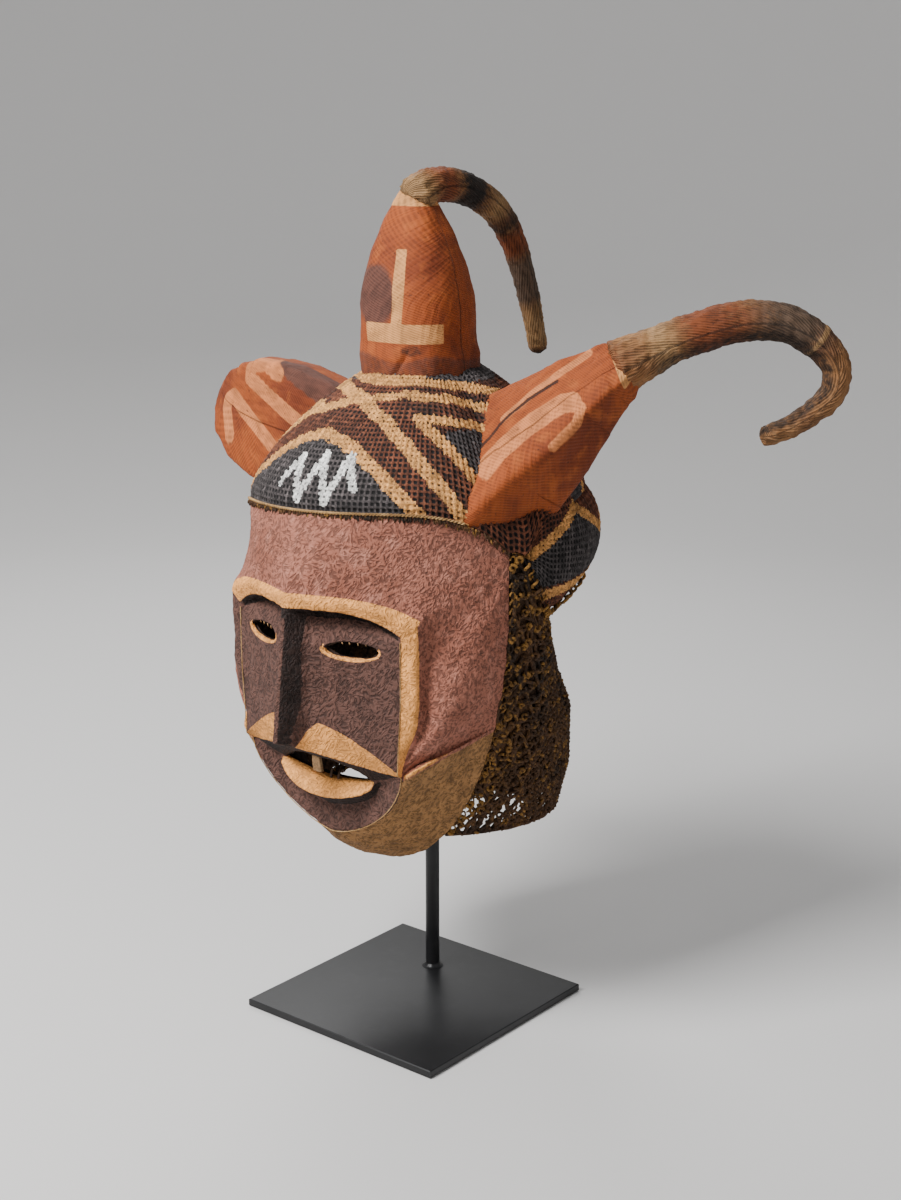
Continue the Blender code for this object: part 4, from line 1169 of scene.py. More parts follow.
@dataclass
class CapForm:
    """The cap's section at each angle, in head millimetres."""

    face: FaceForm
    crown: float = 421.0
    back_radius: float = 140.0
    tuck_radius: float = 91.7
    roll_height: float = 270.0
    roll_half: float = 45.0
    wall: float = 5.0
    gap: float = 0.3

    def section(self, angle: float, share: float) -> tuple[float, float]:
        """Radius and height on the cap's outside, crown at share 0, hem at 1."""
        edge, radius = self.face.edge_angle, self.face.radius
        rolled = ease((abs(angle) - edge - 1.5) / 16.0)
        tucked = ease((abs(angle) - edge) / 54.0)
        bulge = mix(radius, self.back_radius, tucked)
        reach = (bulge - mix(radius, self.tuck_radius, tucked)) / 1.342
        middle = bulge - reach
        top = min(share / 0.75, 1.0)
        low = max(share - 0.75, 0.0) / 0.25
        front = self._dome(top, radius, self.face.hem_height(angle) + 8.0)
        front_height = front[1] - 8.0 * low
        if low == 0.0:
            back = self._dome(top, middle + reach * math.cos(math.radians(50.0)), 304.5)
        else:
            turn = math.radians(mix(50.0, -110.0, low))
            back = (middle + reach * math.cos(turn), self.roll_height + self.roll_half * math.sin(turn))
        return mix(front[0], back[0], rolled), mix(front_height, back[1], rolled)

    def _dome(self, share: float, radius: float, low: float) -> tuple[float, float]:
        """A superellipse from the crown down to the shoulder."""
        turn = math.pi / 2 * share
        power = 2.0 / 1.4
        return (radius * math.sin(turn) ** power,
                low + (self.crown - low) * max(math.cos(turn), 0.0) ** power)

    def end_share(self, angle: float) -> float:
        """Where the dome ends and the roll begins."""
        return mix(1.0, 0.75, ease((abs(angle) - self.face.edge_angle) / 12.0))

    def even_shares(self, angle: float, first: float, last: float, fractions: np.ndarray) -> np.ndarray:
        """Shares at even lengths along the section, between two shares."""
        tries = np.linspace(first, last, 70)
        line = np.array([self.section(angle, share) for share in tries])
        length = np.concatenate([[0.0], np.cumsum(np.linalg.norm(np.diff(line, axis=0), axis=1))])
        return np.interp(fractions * length[-1], length, tries)

    def point(self, angle: float, share: float, inset: float = 0.0) -> Point:
        """A point on the cap, moved in from its outside."""
        radius, height = self.section(angle, share)
        if share <= 0.0:
            radius, height = 0.0, self.crown - inset
        elif inset:
            low = self.section(angle, min(share + 0.01, 1.0))
            high = self.section(angle, max(share - 0.01, 0.0))
            along = np.array(low) - np.array(high)
            along /= np.linalg.norm(along)
            radius, height = max(radius + along[1] * inset, 0.0), height - along[0] * inset
            if share >= 0.999:
                height = self.section(angle, share)[1]
        turn = math.radians(angle)
        return radius * math.sin(turn), radius * math.cos(turn), height + self.gap

    def spot(self, angle: float, height: float) -> Point:
        """The point of the dome at an angle and a height."""
        low, high = 0.0, 0.999
        for _ in range(22):
            middle = 0.5 * (low + high)
            if self.section(angle, middle)[1] > height:
                low = middle
            else:
                high = middle
        return self.point(angle, 0.5 * (low + high))


@dataclass(frozen=True)
class Stripe:
    """A painted stripe on the cap, through (angle, height) places."""

    places: tuple[tuple[float, float], ...]
    width: float

    def line(self, form: CapForm, mirror: bool = False) -> np.ndarray:
        """The stripe's middle line on the cap.

        Args:
            form: The cap.
            mirror: Whether to swap left and right.

        Returns:
            Points close enough together to follow the dome.
        """
        places = np.array(self.places, dtype=float)
        if mirror:
            places[:, 0] *= -1.0
        fine = np.concatenate([np.linspace(a, b, 6)[:-1] for a, b in zip(places[:-1], places[1:])]
                              + [places[-1:]])
        wrapped = (fine[:, 0] + 180.0) % 360.0 - 180.0
        return np.array([form.spot(angle, height) for angle, height in zip(wrapped, fine[:, 1])])


@dataclass
class Cap:
    """The woven cap: strands, holes and painted stripes."""

    form: CapForm
    head: Head
    rows: int = 42
    roll_rows: int = 20
    columns: tuple[tuple[float, int], ...] = ((0.20, 34), (0.40, 76), (0.68, 128), (2.0, 196))
    arch: Stripe = Stripe(((-46, 308), (-41, 318), (-32.4, 331.7), (-24.4, 346.8), (-16, 356), (-7, 361),
                           (3, 358), (11.5, 353), (23.5, 338), (30.2, 325), (36.5, 309)), 11.0)
    ridge: Stripe = Stripe(((-60, 306), (-54, 328), (-48, 345), (-41.5, 355), (-32.5, 370.8), (-13.4, 380.6),
                            (-1.4, 385.8), (20, 372.4), (30.8, 357.6), (38.5, 341.5), (44.9, 325),
                            (50, 306)), 11.5)
    stripes: tuple[Stripe, ...] = (
        Stripe(((-1.4, 385.8), (-18, 388.5), (-39.5, 391), (-60, 388)), 11.0),
        Stripe(((0, 385), (10, 387), (25.3, 390), (49.7, 387), (73.6, 378), (92, 368)), 9.5),
        Stripe(((-32, 402.5), (3, 397), (36.8, 398.5), (65.8, 393.5), (90, 388), (110, 380)), 10.5),
        Stripe(((80, 356), (63.4, 367.4), (45.3, 374), (34.3, 375.5)), 9.5),
        Stripe(((34.3, 375.5), (42.5, 362.8), (48.1, 352), (52.5, 341.3), (57, 325)), 10.0))
    zigzag: Stripe = Stripe(((-15.5, 323), (-10.5, 344), (-4.8, 314), (0.5, 348), (6.2, 315), (11.2, 349),
                             (15.5, 327)), 6.8)

    def _lines(self) -> list[tuple[np.ndarray, float]]:
        """All tan stripes: as drawn, then those of the right side mirrored to the left."""
        drawn = (self.arch, self.ridge, *self.stripes)
        return ([(stripe.line(self.form), stripe.width) for stripe in drawn]
                + [(stripe.line(self.form, mirror=True), stripe.width) for stripe in self.stripes[1:]])

    def _paint(self, spots: np.ndarray) -> Marks:
        """Which paint each strand of the weave has, from its middle point."""
        tan = np.zeros(len(spots))
        for line, width in self._lines():
            tan = np.maximum(tan, stroke_distance(spots, line) < 0.5 * width)
        angle, height = np.degrees(np.arctan2(spots[:, 0], spots[:, 1])), spots[:, 2]
        arch = np.interp(angle, *np.array(self.arch.places, dtype=float).T, left=0.0, right=0.0)
        under_arch = (height < arch) & (angle > -46) & (angle < 36.5)
        crown = np.hypot(spots[:, 0], spots[:, 1] - 8.0) < 57.0
        stripe = np.interp(angle, (34.3, 42.5, 48.1, 52.5, 57, 64, 75), (375, 363, 352, 341, 327, 318, 318))
        inner = (angle > 46) & (angle < 75) & (height < 366) & (height > stripe)
        radius = np.hypot(spots[:, 0], spots[:, 1])
        back = np.abs(angle) > 75.0
        wave = 352.0 + 24.0 * np.cos(np.radians((np.abs(angle) - 75.0) * 6.0))
        tan = np.maximum(tan, back & (np.abs(height - wave) < 6.0) & (radius > 40.0))
        tan = np.maximum(tan, (np.abs(angle) > 96.0) & (np.abs(height - wave + 34.0) < 5.5))
        behind = back & (height < wave - 6.0) & (height > wave - 28.0)
        grey = under_arch | crown | inner | behind
        return {"tan": tan.astype(float), "grey": (grey & (tan < 0.5)).astype(float)}

    def _weave(self, angles: np.ndarray, shares: Callable[[float], np.ndarray], seed: int,
               closed: bool) -> Skin:
        """Strands of one zone: three points a strand each way, with a hole at each crossing.

        Args:
            angles: The strands' edges round the head, in degrees.
            shares: The section's shares for each angle, three a row and one more.
            seed: Which unevenness to give.
            closed: Whether the zone runs all round.

        Returns:
            The zone, with its paint.
        """
        dice = np.random.default_rng(seed)
        gaps = np.diff(angles)
        fine = np.concatenate([[a, a + 0.36 * g, a + 0.68 * g] for a, g in zip(angles[:-1], gaps)])
        if not closed:
            fine = np.append(fine, angles[-1])
        wrap = (fine + 180.0) % 360.0 - 180.0
        grid = np.array([[self.form.point(angle, share) for share in shares(angle)] for angle in wrap])
        grid = grid.transpose(1, 0, 2)
        high, wide = grid.shape[:2]
        r, c = np.meshgrid(np.arange(high) % 3, np.arange(wide) % 3, indexing="ij")
        at_row, at_column = r < 2, c < 2
        hole = np.where(at_row & at_column, dice.uniform(0.85, 1.1, (high, wide)), 0.0)
        groove = np.where(at_row ^ at_column, 1.0, 0.0)
        lump = dice.uniform(-0.3, 0.3, (high, wide))
        skin = Skin.grid(grid, {"hole": hole, "dent": groove, "lump": lump}, closed=closed)
        cells = np.array([np.mean(skin.points[list(face)], axis=0) for face in skin.faces])
        strand_r = np.arange(high - 1) // 3
        quads = wide if closed else wide - 1
        strand_c = np.arange(quads) // 3
        key = (strand_r[:, None] * 1000 + strand_c[None, :]).reshape(-1)
        _, back = np.unique(key, return_inverse=True)
        back = back.reshape(-1)
        size = np.bincount(back)
        jitter = dice.uniform(-0.8, 0.8, (len(size), 3))
        skin.patches = self._paint(cells + jitter[back])
        away = stroke_distance(cells + 0.4 * jitter[back], self.zigzag.line(self.form))
        skin.patches["white"] = (away < 0.5 * self.zigzag.width).astype(float)
        tone = np.clip(dice.normal(1.0, 0.24, len(size)), 0.35, 1.5)[back]
        streak = np.tile(np.clip(dice.normal(1.0, 0.22, 3 * wide), 0.4, 1.4)[:quads], high - 1)
        skin.patches["tone"] = tone * streak * dice.uniform(0.85, 1.15, len(tone))
        return skin

    def _fractions(self, first: int, last: int, rows: int) -> np.ndarray:
        """Places of the fine rows between two rows of strands, as shares of all rows."""
        places = np.concatenate([[k, k + 0.36, k + 0.68] for k in range(first, last)] + [[last]])
        return places / rows

    def skins(self) -> tuple[Skin, Skin]:
        """The dome's weave and the roll's."""
        form = self.form
        edge = form.face.edge_angle
        zones, first = [], 0
        for n, (reach, count) in enumerate(self.columns):
            last = first
            while last < self.rows:
                share = form.even_shares(0.0, 0.0, 1.0, np.array([(last + 1) / self.rows]))[0]
                if form.section(0.0, share)[0] > reach * form.face.radius:
                    break
                last += 1
            if n == len(self.columns) - 1:
                last = self.rows
            fractions = self._fractions(first, last, self.rows)

            def shares(angle: float, fractions: np.ndarray = fractions) -> np.ndarray:
                """Even rows from crown to the dome's end."""
                return form.even_shares(angle, 0.0, form.end_share(angle), fractions)

            angles = np.linspace(-180.0, 180.0, count + 1)
            zones.append(self._weave(angles, shares, 40 + n, True))
            first = last
        spread = np.linspace(edge + 0.5, 360.0 - edge - 0.5, 136)
        fractions = self._fractions(0, self.roll_rows, self.roll_rows)

        def roll_shares(angle: float) -> np.ndarray:
            """Even rows from the dome's end to the roll's lower edge."""
            return form.even_shares(angle, form.end_share(angle), 1.0, fractions)

        roll = self._weave(spread, roll_shares, 50, False)
        roll.patches.update(self._roll_paint(roll))
        return Skin.joined(zones), roll

    def _roll_paint(self, roll: Skin) -> Marks:
        """Nested arches on the roll round the back."""
        cells = np.array([np.mean(roll.points[list(face)], axis=0) for face in roll.faces])
        angle = np.abs(np.degrees(np.arctan2(cells[:, 0], cells[:, 1])))
        height = cells[:, 2]
        dome = 302.0 - 1.15 * np.abs((angle - 96.0 + 24.0) % 48.0 - 24.0)
        tan = (np.abs(height - dome) < 5.0) | (np.abs(height - 240.0) < 4.0)
        grey = (height < dome - 5.0) & (height > 246.0)
        return {"tan": tan.astype(float), "grey": grey.astype(float), "white": np.zeros(len(tan))}

    @staticmethod
    def relief(_: np.ndarray, marks: Marks) -> np.ndarray:
        """Holes and grooves between the strands."""
        return 0.55 - 1.9 * marks["hole"] - 0.35 * marks["dent"] + marks["lump"]

    def _lining(self) -> Skin:
        """The inside of the cap and its lower edge."""
        form = self.form
        angles = np.linspace(-180.0, 180.0, 97)[:-1]
        levels = np.linspace(1.0, 0.0, 30)
        rows = [[form.point(angle, 1.0) for angle in angles]]
        rows += [[form.point(angle, share, form.wall) for angle in angles] for share in levels]
        return Skin.grid(np.array(rows), closed=True)

    def make(self) -> list[bpy.types.Object]:
        """Build the cap's pieces."""
        dome, roll = self.skins()
        pieces = [dome.build("cap_weave", self.head, CAP_FINISH.material(), self.relief),
                  roll.build("cap_roll_weave", self.head, CAP_FINISH.material(), self.relief),
                  self._lining().build("cap_lining", self.head, LINING_FINISH.material())]
        for piece in pieces:
            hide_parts("cap")
        return pieces


@dataclass
class Hem:
    """The twisted cord on the seam, and the frayed edge under it."""

    face: FaceForm
    head: Head
    radius: float = 1.2
    twist: float = 5.5
    frays: int = 420

    def _spot(self, angle: float, out: float, up: float) -> Point:
        """A place by the seam, out from it and above it."""
        turn = math.radians(angle)
        reach = self.face.radius + out
        return reach * math.sin(turn), reach * math.cos(turn), self.face.hem_height(angle) + up

    def _cord(self) -> Skin:
        """Two plies turned about each other."""
        reach = self.face.edge_angle - 14.0
        angles = np.linspace(-reach, reach, 900)
        parts = []
        for ply in range(2):
            path = []
            for angle in angles:
                turn = math.radians(angle) * self.face.radius / self.twist * TAU + ply * math.pi
                path.append(self._spot(angle, 1.7 + 0.62 * math.cos(turn), 1.3 + 0.62 * math.sin(turn)))
            parts.append(rope(np.array(path), 0.60, 6))
        return Skin.joined(parts)

    def _fray(self) -> Skin:
        """Short ends of fibre that stick out under the cord."""
        dice = np.random.default_rng(61)
        parts = []
        for _ in range(self.frays):
            angle = dice.uniform(-self.face.edge_angle * 0.95, self.face.edge_angle)
            start = np.array(self._spot(angle, 0.5, dice.uniform(-0.5, 1.2)))
            slant = np.array([dice.normal(0.0, 1.2), 0.0, -dice.uniform(1.2, 5.2)])
            lift = np.array(self._spot(angle, 1.6, 0.0)) - np.array(self._spot(angle, 0.0, 0.0))
            path = np.array([start, start + 0.5 * slant + lift * 0.7, start + slant + lift * 0.55])
            parts.append(rope(path, (0.8, 0.7, 0.4), 5, ochre=float(dice.uniform() < 0.12)))
        return Skin.joined(parts)

    def make(self) -> list[bpy.types.Object]:
        """Build the cord and the frayed ends."""
        cord = self._cord().build("hem_cord_twisted", self.head, CORD_FINISH.material())
        fray = self._fray().build("hem_fray", self.head, NET_FINISH.material())
        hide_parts("hem_cord")
        return [cord, fray]


@dataclass
class Net:
    """The net round the back: crossing strands, knots, and a felted layer inside."""

    cap: CapForm
    head: Head
    rim: float = 33.0
    wall: float = 4.0
    strands: int = 60
    knot_rows: int = 34
    profile: tuple[tuple[float, float], ...] = ((33.0, 107.0), (72.0, 116.0), (118.0, 116.0), (145.0, 106.0),
                                                (178.0, 99.0), (208.0, 92.0), (230.0, 91.7))

    def spot(self, turn: float, fall: float, inset: float = 0.0, sign: float = 1.0) -> Point:
        """A point on the net: turn 0 at the face to 1 at the back, fall 0 to 1."""
        face = self.cap.face
        width = face.half_width_at(mix(face.back_top, self.rim, fall))
        start = math.degrees(math.atan2(width, face.back_forward))
        angle = mix(start, 180.0, turn)
        top_radius, top = self.cap.section(max(angle, face.edge_angle), 1.0)
        height = mix(top, self.rim, fall)
        settled = ease((angle - start) / (118.0 - start))
        heights, radii = zip(*self.profile)
        plump = mix(math.hypot(width, face.back_forward), float(np.interp(height, heights, radii)), settled)
        near_top = 1.0 - ease(fall / 0.16) if turn > 0.0 else 0.0
        radius = mix(plump, top_radius, near_top) - inset
        around = math.radians(sign * angle)
        return radius * math.sin(around), radius * math.cos(around), height

    def _at(self, place: float, fall: float, inset: float = 0.0) -> Point:
        """A point by its place right round, -1 at the left edge to 1 at the right edge."""
        place = min(max(place, -1.0), 1.0)
        return self.spot(1.0 - abs(place), fall, inset, 1.0 if place >= 0.0 else -1.0)

    def _strands(self) -> Skin:
        """Slanting strands that pass over and under each other."""
        dice = np.random.default_rng(71)
        parts = []
        for lean in (-1.0, 1.0):
            for k in range(-4, self.strands + 5):
                start = -1.0 + 2.0 * k / self.strands
                path = []
                ochre = dice.uniform(0.0, 0.45)
                phase = dice.uniform(0.0, TAU)
                for fall in np.linspace(0.0, 1.0, 92):
                    sway = lean * 0.09 * math.sin(fall * 24.0 + phase) * 0.25
                    place = start + sway + lean * (fall - 0.5) * 0.42
                    if abs(place) > 1.0:
                        continue
                    weave = 1.0 + 0.9 * lean * math.sin(fall * TAU * self.knot_rows * 0.5 + k * math.pi)
                    path.append(self._at(place, fall, weave))
                if len(path) > 5:
                    path = np.array(path)
                    path += 0.5 * np.stack([ripple(path, 9.0, 700 + k * 3 + n) for n in range(3)], axis=1)
                    parts.append(rope(path, 1.55, 6, ochre=ochre))
        return Skin.joined(parts)

    def _knots(self) -> Skin:
        """A bent loop round each crossing."""
        dice = np.random.default_rng(72)
        parts = []
        for row in range(self.knot_rows):
            fall = (row + 0.5) / self.knot_rows
            for k in range(self.strands):
                place = -1.0 + 2.0 * (k + 0.5 * (row % 2) + dice.uniform(-0.15, 0.15)) / self.strands
                if abs(place) > 0.995:
                    continue
                centre = np.array(self._at(place, fall, -0.4))
                out = np.array(self._at(place, fall, -1.4)) - centre
                tangent = np.cross(out, (0.0, 0.0, 1.0))
                tangent /= np.linalg.norm(tangent)
                spin = dice.uniform(0.0, TAU)
                size = dice.uniform(1.3, 2.4)
                path = []
                for n in range(9):
                    turn = spin + n / 8 * TAU * 0.82
                    path.append(centre + tangent * size * 1.15 * math.cos(turn)
                                + np.array([0.0, 0.0, 1.0]) * size * math.sin(turn)
                                + out * (0.8 * math.sin(2.0 * turn) - 0.2))
                top = max(0.0, 1.0 - fall / 0.25, (abs(place) - 0.90) / 0.10)
                ochre = float(np.clip(dice.normal(0.16 + 0.5 * top, 0.24), 0.0, 1.0))
                parts.append(rope(np.array(path), dice.uniform(1.0, 1.7), 5, ochre=ochre))
        return Skin.joined(parts)

    def _felt(self) -> Skin:
        """The matted layer that closes the net above its open rim."""
        places = np.linspace(-1.0, 1.0, 150)
        levels = np.linspace(0.0, 1.0, 64)
        ends = [mix(0.96, 0.83, ease((place - 0.35) / 0.30)) for place in places]
        grid = np.array([[self._at(place, level * end, 2.6) for place, end in zip(places, ends)]
                         for level in levels])
        return Skin.grid(grid)

    def _rim(self) -> Skin:
        """The thick bound edge at the bottom, and loops along the face."""
        path = np.array([self._at(place, 0.995, 0.4) for place in np.linspace(-1.0, 1.0, 260)])
        path += 0.5 * np.stack([ripple(path, 12.0, 90 + n) for n in range(3)], axis=1)
        parts = [rope(path, 1.9, 7, ochre=0.2)]
        dice = np.random.default_rng(73)
        for sign in (-1.0, 1.0):
            for fall in np.linspace(0.02, 0.97, 34):
                start = np.array(self._at(sign * 0.998, fall, -0.3))
                loop = []
                for n in range(9):
                    turn = TAU * n / 8 * 0.8
                    loop.append(start + np.array([sign * (0.8 - 0.6 * math.cos(turn)),
                                                  -2.4 + 2.4 * math.cos(turn), 3.2 * math.sin(turn)]))
                parts.append(rope(np.array(loop), 0.8, 5, ochre=float(dice.uniform(0.2, 0.9))))
        return Skin.joined(parts)

    def _fringe(self) -> Skin:
        """Ochre loops that stick out where the net is tied under the cap's roll."""
        dice = np.random.default_rng(74)
        edge = self.cap.face.edge_angle
        parts = []
        for around in np.linspace(edge + 6.0, 354.0 - edge, 150):
            angle = (around + 180.0) % 360.0 - 180.0
            start = np.array(self.cap.point(angle, dice.uniform(0.90, 0.97)))
            out = np.array([math.sin(math.radians(angle)), math.cos(math.radians(angle)), 0.0])
            side = np.array([out[1], -out[0], 0.0])
            size = dice.uniform(1.2, 2.4)
            loop = [start + out * size * (0.6 + math.sin(turn)) + side * size * math.cos(turn)
                    - np.array([0.0, 0.0, 1.6 * size * (1.0 - math.cos(0.5 * turn + 0.4))])
                    for turn in np.linspace(0.0, 5.0, 10)]
            thick, ochre = dice.uniform(0.9, 1.4), float(dice.uniform(0.2, 1.0))
            parts.append(rope(np.array(loop), thick, 5, ochre=ochre))
        return Skin.joined(parts)

    @staticmethod
    def felt_relief(points: np.ndarray, _: Marks) -> np.ndarray:
        """Lumps of matted fibre."""
        return 0.8 * ripple(points, 6.0, 75)

    def make(self) -> list[bpy.types.Object]:
        """Build the net's pieces."""
        finish = NET_FINISH.material()
        pieces = [self._strands().build("net_strands", self.head, finish),
                  self._knots().build("net_knots", self.head, finish),
                  self._felt().build("net_felt", self.head, finish, self.felt_relief),
                  self._rim().build("net_rim", self.head, finish),
                  self._fringe().build("net_fringe", self.head, finish)]
        for piece in pieces:
            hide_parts("net_hood")
        return pieces


def soft_polygon(faces: Sequence[tuple[float, float]], angle: float, sharp: float = 8.0) -> float:
    """Radius of a rounded polygon given by its faces' directions and distances."""
    total = 0.0
    for direction, distance in faces:
        lean = math.cos(math.radians(angle - direction))
        if lean > 0.0:
            total += (lean / distance) ** sharp
    return total ** (-1.0 / sharp)


def outside_cap(skin: Skin, cap: CapForm, sunk: float = 2.5) -> Skin:
    """Leave out what lies deeper under the cap than the given depth."""
    inside = np.zeros(len(skin.points), dtype=bool)
    for k, (across, forward, height) in enumerate(skin.points):
        radius = math.hypot(across, forward)
        if radius < 146.0 and height < cap.crown:
            angle = math.degrees(math.atan2(across, forward))
            if height > 300.0:
                surface = cap.spot(angle, height)
                inside[k] = radius < math.hypot(surface[0], surface[1]) - sunk
            else:
                inside[k] = radius < 120.0
    faces = [face for face in skin.faces if not all(inside[i] for i in face)]
    used = sorted({i for face in faces for i in face})
    order = {old: new for new, old in enumerate(used)}
    return Skin(skin.points[used], [tuple(order[i] for i in face) for face in faces],
                {name: value[used] for name, value in skin.marks.items()})


def lay_marks(rings: np.ndarray) -> Marks:
    """Metres along and round a tube, for finishes with ribs."""
    middles = rings.mean(axis=1)
    along = np.concatenate([[0.0], np.cumsum(np.linalg.norm(np.diff(middles, axis=0), axis=1))])
    edges = np.linalg.norm(np.diff(rings, axis=1, append=rings[:, :1]), axis=2)
    about = np.cumsum(edges, axis=1) - edges
    return {"along": np.broadcast_to(along[:, None], rings.shape[:2]) * 0.001,
            "round": about * 0.001}


def band(share: np.ndarray, low: float, high: float, soft: float) -> np.ndarray:
    """1 between two shares of a length, with soft ends."""
    return step_down(np.abs(share - 0.5 * (low + high)), 0.5 * (high - low), soft)


def banded(rings: np.ndarray, bands: Marks) -> Skin:
    """A horn's cloth from its rings, with colours that change along it."""
    sides = rings.shape[1]
    marks = {name: np.repeat(np.clip(value, 0, 1)[:, None], sides, axis=1) for name, value in bands.items()}
    return Skin.grid(rings, {**lay_marks(rings), **marks}, closed=True)


@dataclass(frozen=True)
class Panel:
    """An upright plane to draw on, through a place and facing an angle from the front."""

    across: float
    forward: float
    facing: float

    def flat(self, points: np.ndarray) -> tuple[np.ndarray, np.ndarray]:
        """Points as (right, height) on the plane, and how far they stand out of it."""
        turn = math.radians(self.facing)
        right = np.array([math.cos(turn), -math.sin(turn)])
        out = np.array([math.sin(turn), math.cos(turn)])
        plan = points[:, :2] - np.array([self.across, self.forward])
        return np.stack([plan @ right, points[:, 2]], axis=1), plan @ out

    def stroke(self, points: np.ndarray, places: Sequence[Sequence[float]], width: float) -> np.ndarray:
        """A painted stroke: 1 well inside it, 0.5 at its edge, 0 outside."""
        flat, _ = self.flat(points)
        return step_down(stroke_distance(flat, np.asarray(places, dtype=float)), 0.5 * width, 1.6)


@dataclass
class TopLobe:
    """The tall lobe on the crown and the horn that curls back from its tip."""

    cap: CapForm
    head: Head
    radius: float = 44.5
    foot: float = 398.0
    tall: float = 154.0
    panel: Panel = Panel(0.0, 10.0, 33.0)
    horn_radius: float = 15.0
    around: int = 150
    horn_path: tuple[tuple[float, float], ...] = (
        (22.0, 536.0), (0.0, 545.0), (-28.0, 545.0), (-55.0, 538.0), (-80.0, 526.5), (-99.0, 510.0),
        (-113.0, 489.5), (-123.5, 468.0), (-134.5, 441.0), (-143.5, 412.0), (-147.5, 399.0))

    def _rings(self) -> np.ndarray:
        """Rings from under the cap's surface up to the tip."""
        straight, top = self.foot + 0.36 * self.tall, self.foot + self.tall
        levels = np.concatenate([np.linspace(376.0, straight, 56)[:-1],
                                 straight + (top - straight) * np.sin(np.linspace(0, math.pi / 2, 76))])
        rings = np.empty((len(levels), self.around, 3))
        for r, z in enumerate(levels):
            taper = min(max((z - straight) / (top - straight), 0.0), 1.0)
            lean = self.radius * (0.06 + 0.10 * (z - self.foot) / self.tall)
            reach = self.radius * max(1.0 - taper ** 1.4, 0.0) ** (1 / 1.4)
            belly = 1.0 + 0.05 * math.sin(math.pi * min(max((z - self.foot) / (straight - self.foot), 0), 1))
            for k in range(self.around):
                turn = TAU * k / self.around
                squared = (abs(math.cos(turn)) ** 2.5 + abs(math.sin(turn)) ** 2.5) ** (-1 / 2.5)
                rings[r, k] = (reach * squared * math.cos(turn) - lean,
                               10.0 - 0.92 * belly * reach * squared * math.sin(turn), z)
        return rings

    def _paint(self, points: np.ndarray) -> Marks:
        """The upright bar on a level bar, the patch beside it and the wrapped tip."""
        flat, out = self.panel.flat(points)
        right, height = flat[:, 0], flat[:, 1]
        front = out > -8.0
        stem_middle = -15.5 + 3.0 * (height - 441.0) / 57.0
        stem = step_down(np.abs(right - stem_middle), 4.6, 1.4) * step_down(np.abs(height - 467.0), 31.5, 1.6)
        bar = step_down(np.abs(right + 9.9), 31.6, 1.8) * step_down(np.abs(height - 433.7), 7.6, 1.6)
        patch = step_down(np.hypot((right + 34.0) / 17.0, (height - 462.0) / 24.0), 1.0, 0.5)
        tip = step_down(-height, -530.5, 2.0)
        fold = step_down(np.abs(height - 401.0 - 3.0 * np.sin(right / 9.0)), 14.0, 4.0)
        shadow = step_down(np.hypot((right + 3.0) / 10.0, (height - 421.0) / 5.0), 1.0, 0.6)
        tan = np.maximum(stem, bar) * front
        return {"tan": np.maximum(tan, tip), "plum": np.maximum(patch * front, 0.55 * fold),
                "umber": 0.55 * shadow * front}

    def _lobe(self) -> Skin:
        """The lobe's cloth."""
        rings = self._rings()
        marks = lay_marks(rings)
        marks.update({name: value.reshape(rings.shape[:2])
                      for name, value in self._paint(rings.reshape(-1, 3)).items()})
        return outside_cap(Skin.grid(rings, marks, closed=True).welded(0.01), self.cap)

    def _relief(self, points: np.ndarray, _: Marks) -> np.ndarray:
        """Folds of the gathered hem and the unevenness of the cloth."""
        turn = np.arctan2(points[:, 0], points[:, 1] - 10.0)
        low = np.clip((424.0 - points[:, 2]) / 10.0, 0.0, 1.0)
        hem = low * (0.9 * np.sin(turn * 9.0 + 0.7) + 1.9)
        flat, _ = self.panel.flat(points)
        fold = np.exp(-((np.abs(flat[:, 0] + 3.0) - 0.6 * (424.0 - points[:, 2])) / 1.5) ** 2)
        hem -= 2.4 * low * fold
        return hem + 0.45 * ripple(points, 22.0, 81) + 0.12 * ripple(points, 5.0, 82)

    def _horn(self) -> Skin:
        """The curled horn, wrapped in bands."""
        path = spline([(0.0, forward, height) for forward, height in self.horn_path], 200)
        share = np.linspace(0.0, 1.0, len(path))
        end = np.sqrt(np.clip(np.minimum((1.0 - share) / 0.030, (share + 0.001) / 0.030), 0.0, 1.0))
        tip = 1.0 - 0.3 * np.clip((share - 0.93) / 0.07, 0, 1)
        radius = self.horn_radius * (1.0 - 0.5 * share) * tip * end
        between = partial(band, share, soft=0.09)
        bands = {"tan": between(-0.1, 0.06) + between(0.34, 0.44) * 0.8 + between(0.80, 0.93),
                 "red": between(0.09, 0.18) + between(0.50, 0.62),
                 "umber": between(0.20, 0.32) + 0.7 * between(0.44, 0.52) + between(0.96, 1.05),
                 "grey": between(0.62, 0.80)}
        return banded(tube(path, radius, 48, level=(1.0, 0.0, 0.0)), bands)

    def _stitches(self) -> Skin:
        """One stitch through the hem, and a shorter one at its crease."""
        parts = []
        turn = math.radians(self.panel.facing)
        for right, high, low in ((26.5, 423.0, 398.0), (-4.0, 424.0, 412.0)):
            line = []
            for share in np.linspace(0.0, 1.0, 12):
                height = mix(high, low, share)
                out = 33.5 + 2.0 * math.sin(math.pi * share)
                line.append((right * math.cos(turn) + out * math.sin(turn) - 4.0,
                             10.0 - right * math.sin(turn) + out * math.cos(turn), height))
            parts.append(rope(np.array(line), 0.8, 6))
        return Skin.joined(parts)

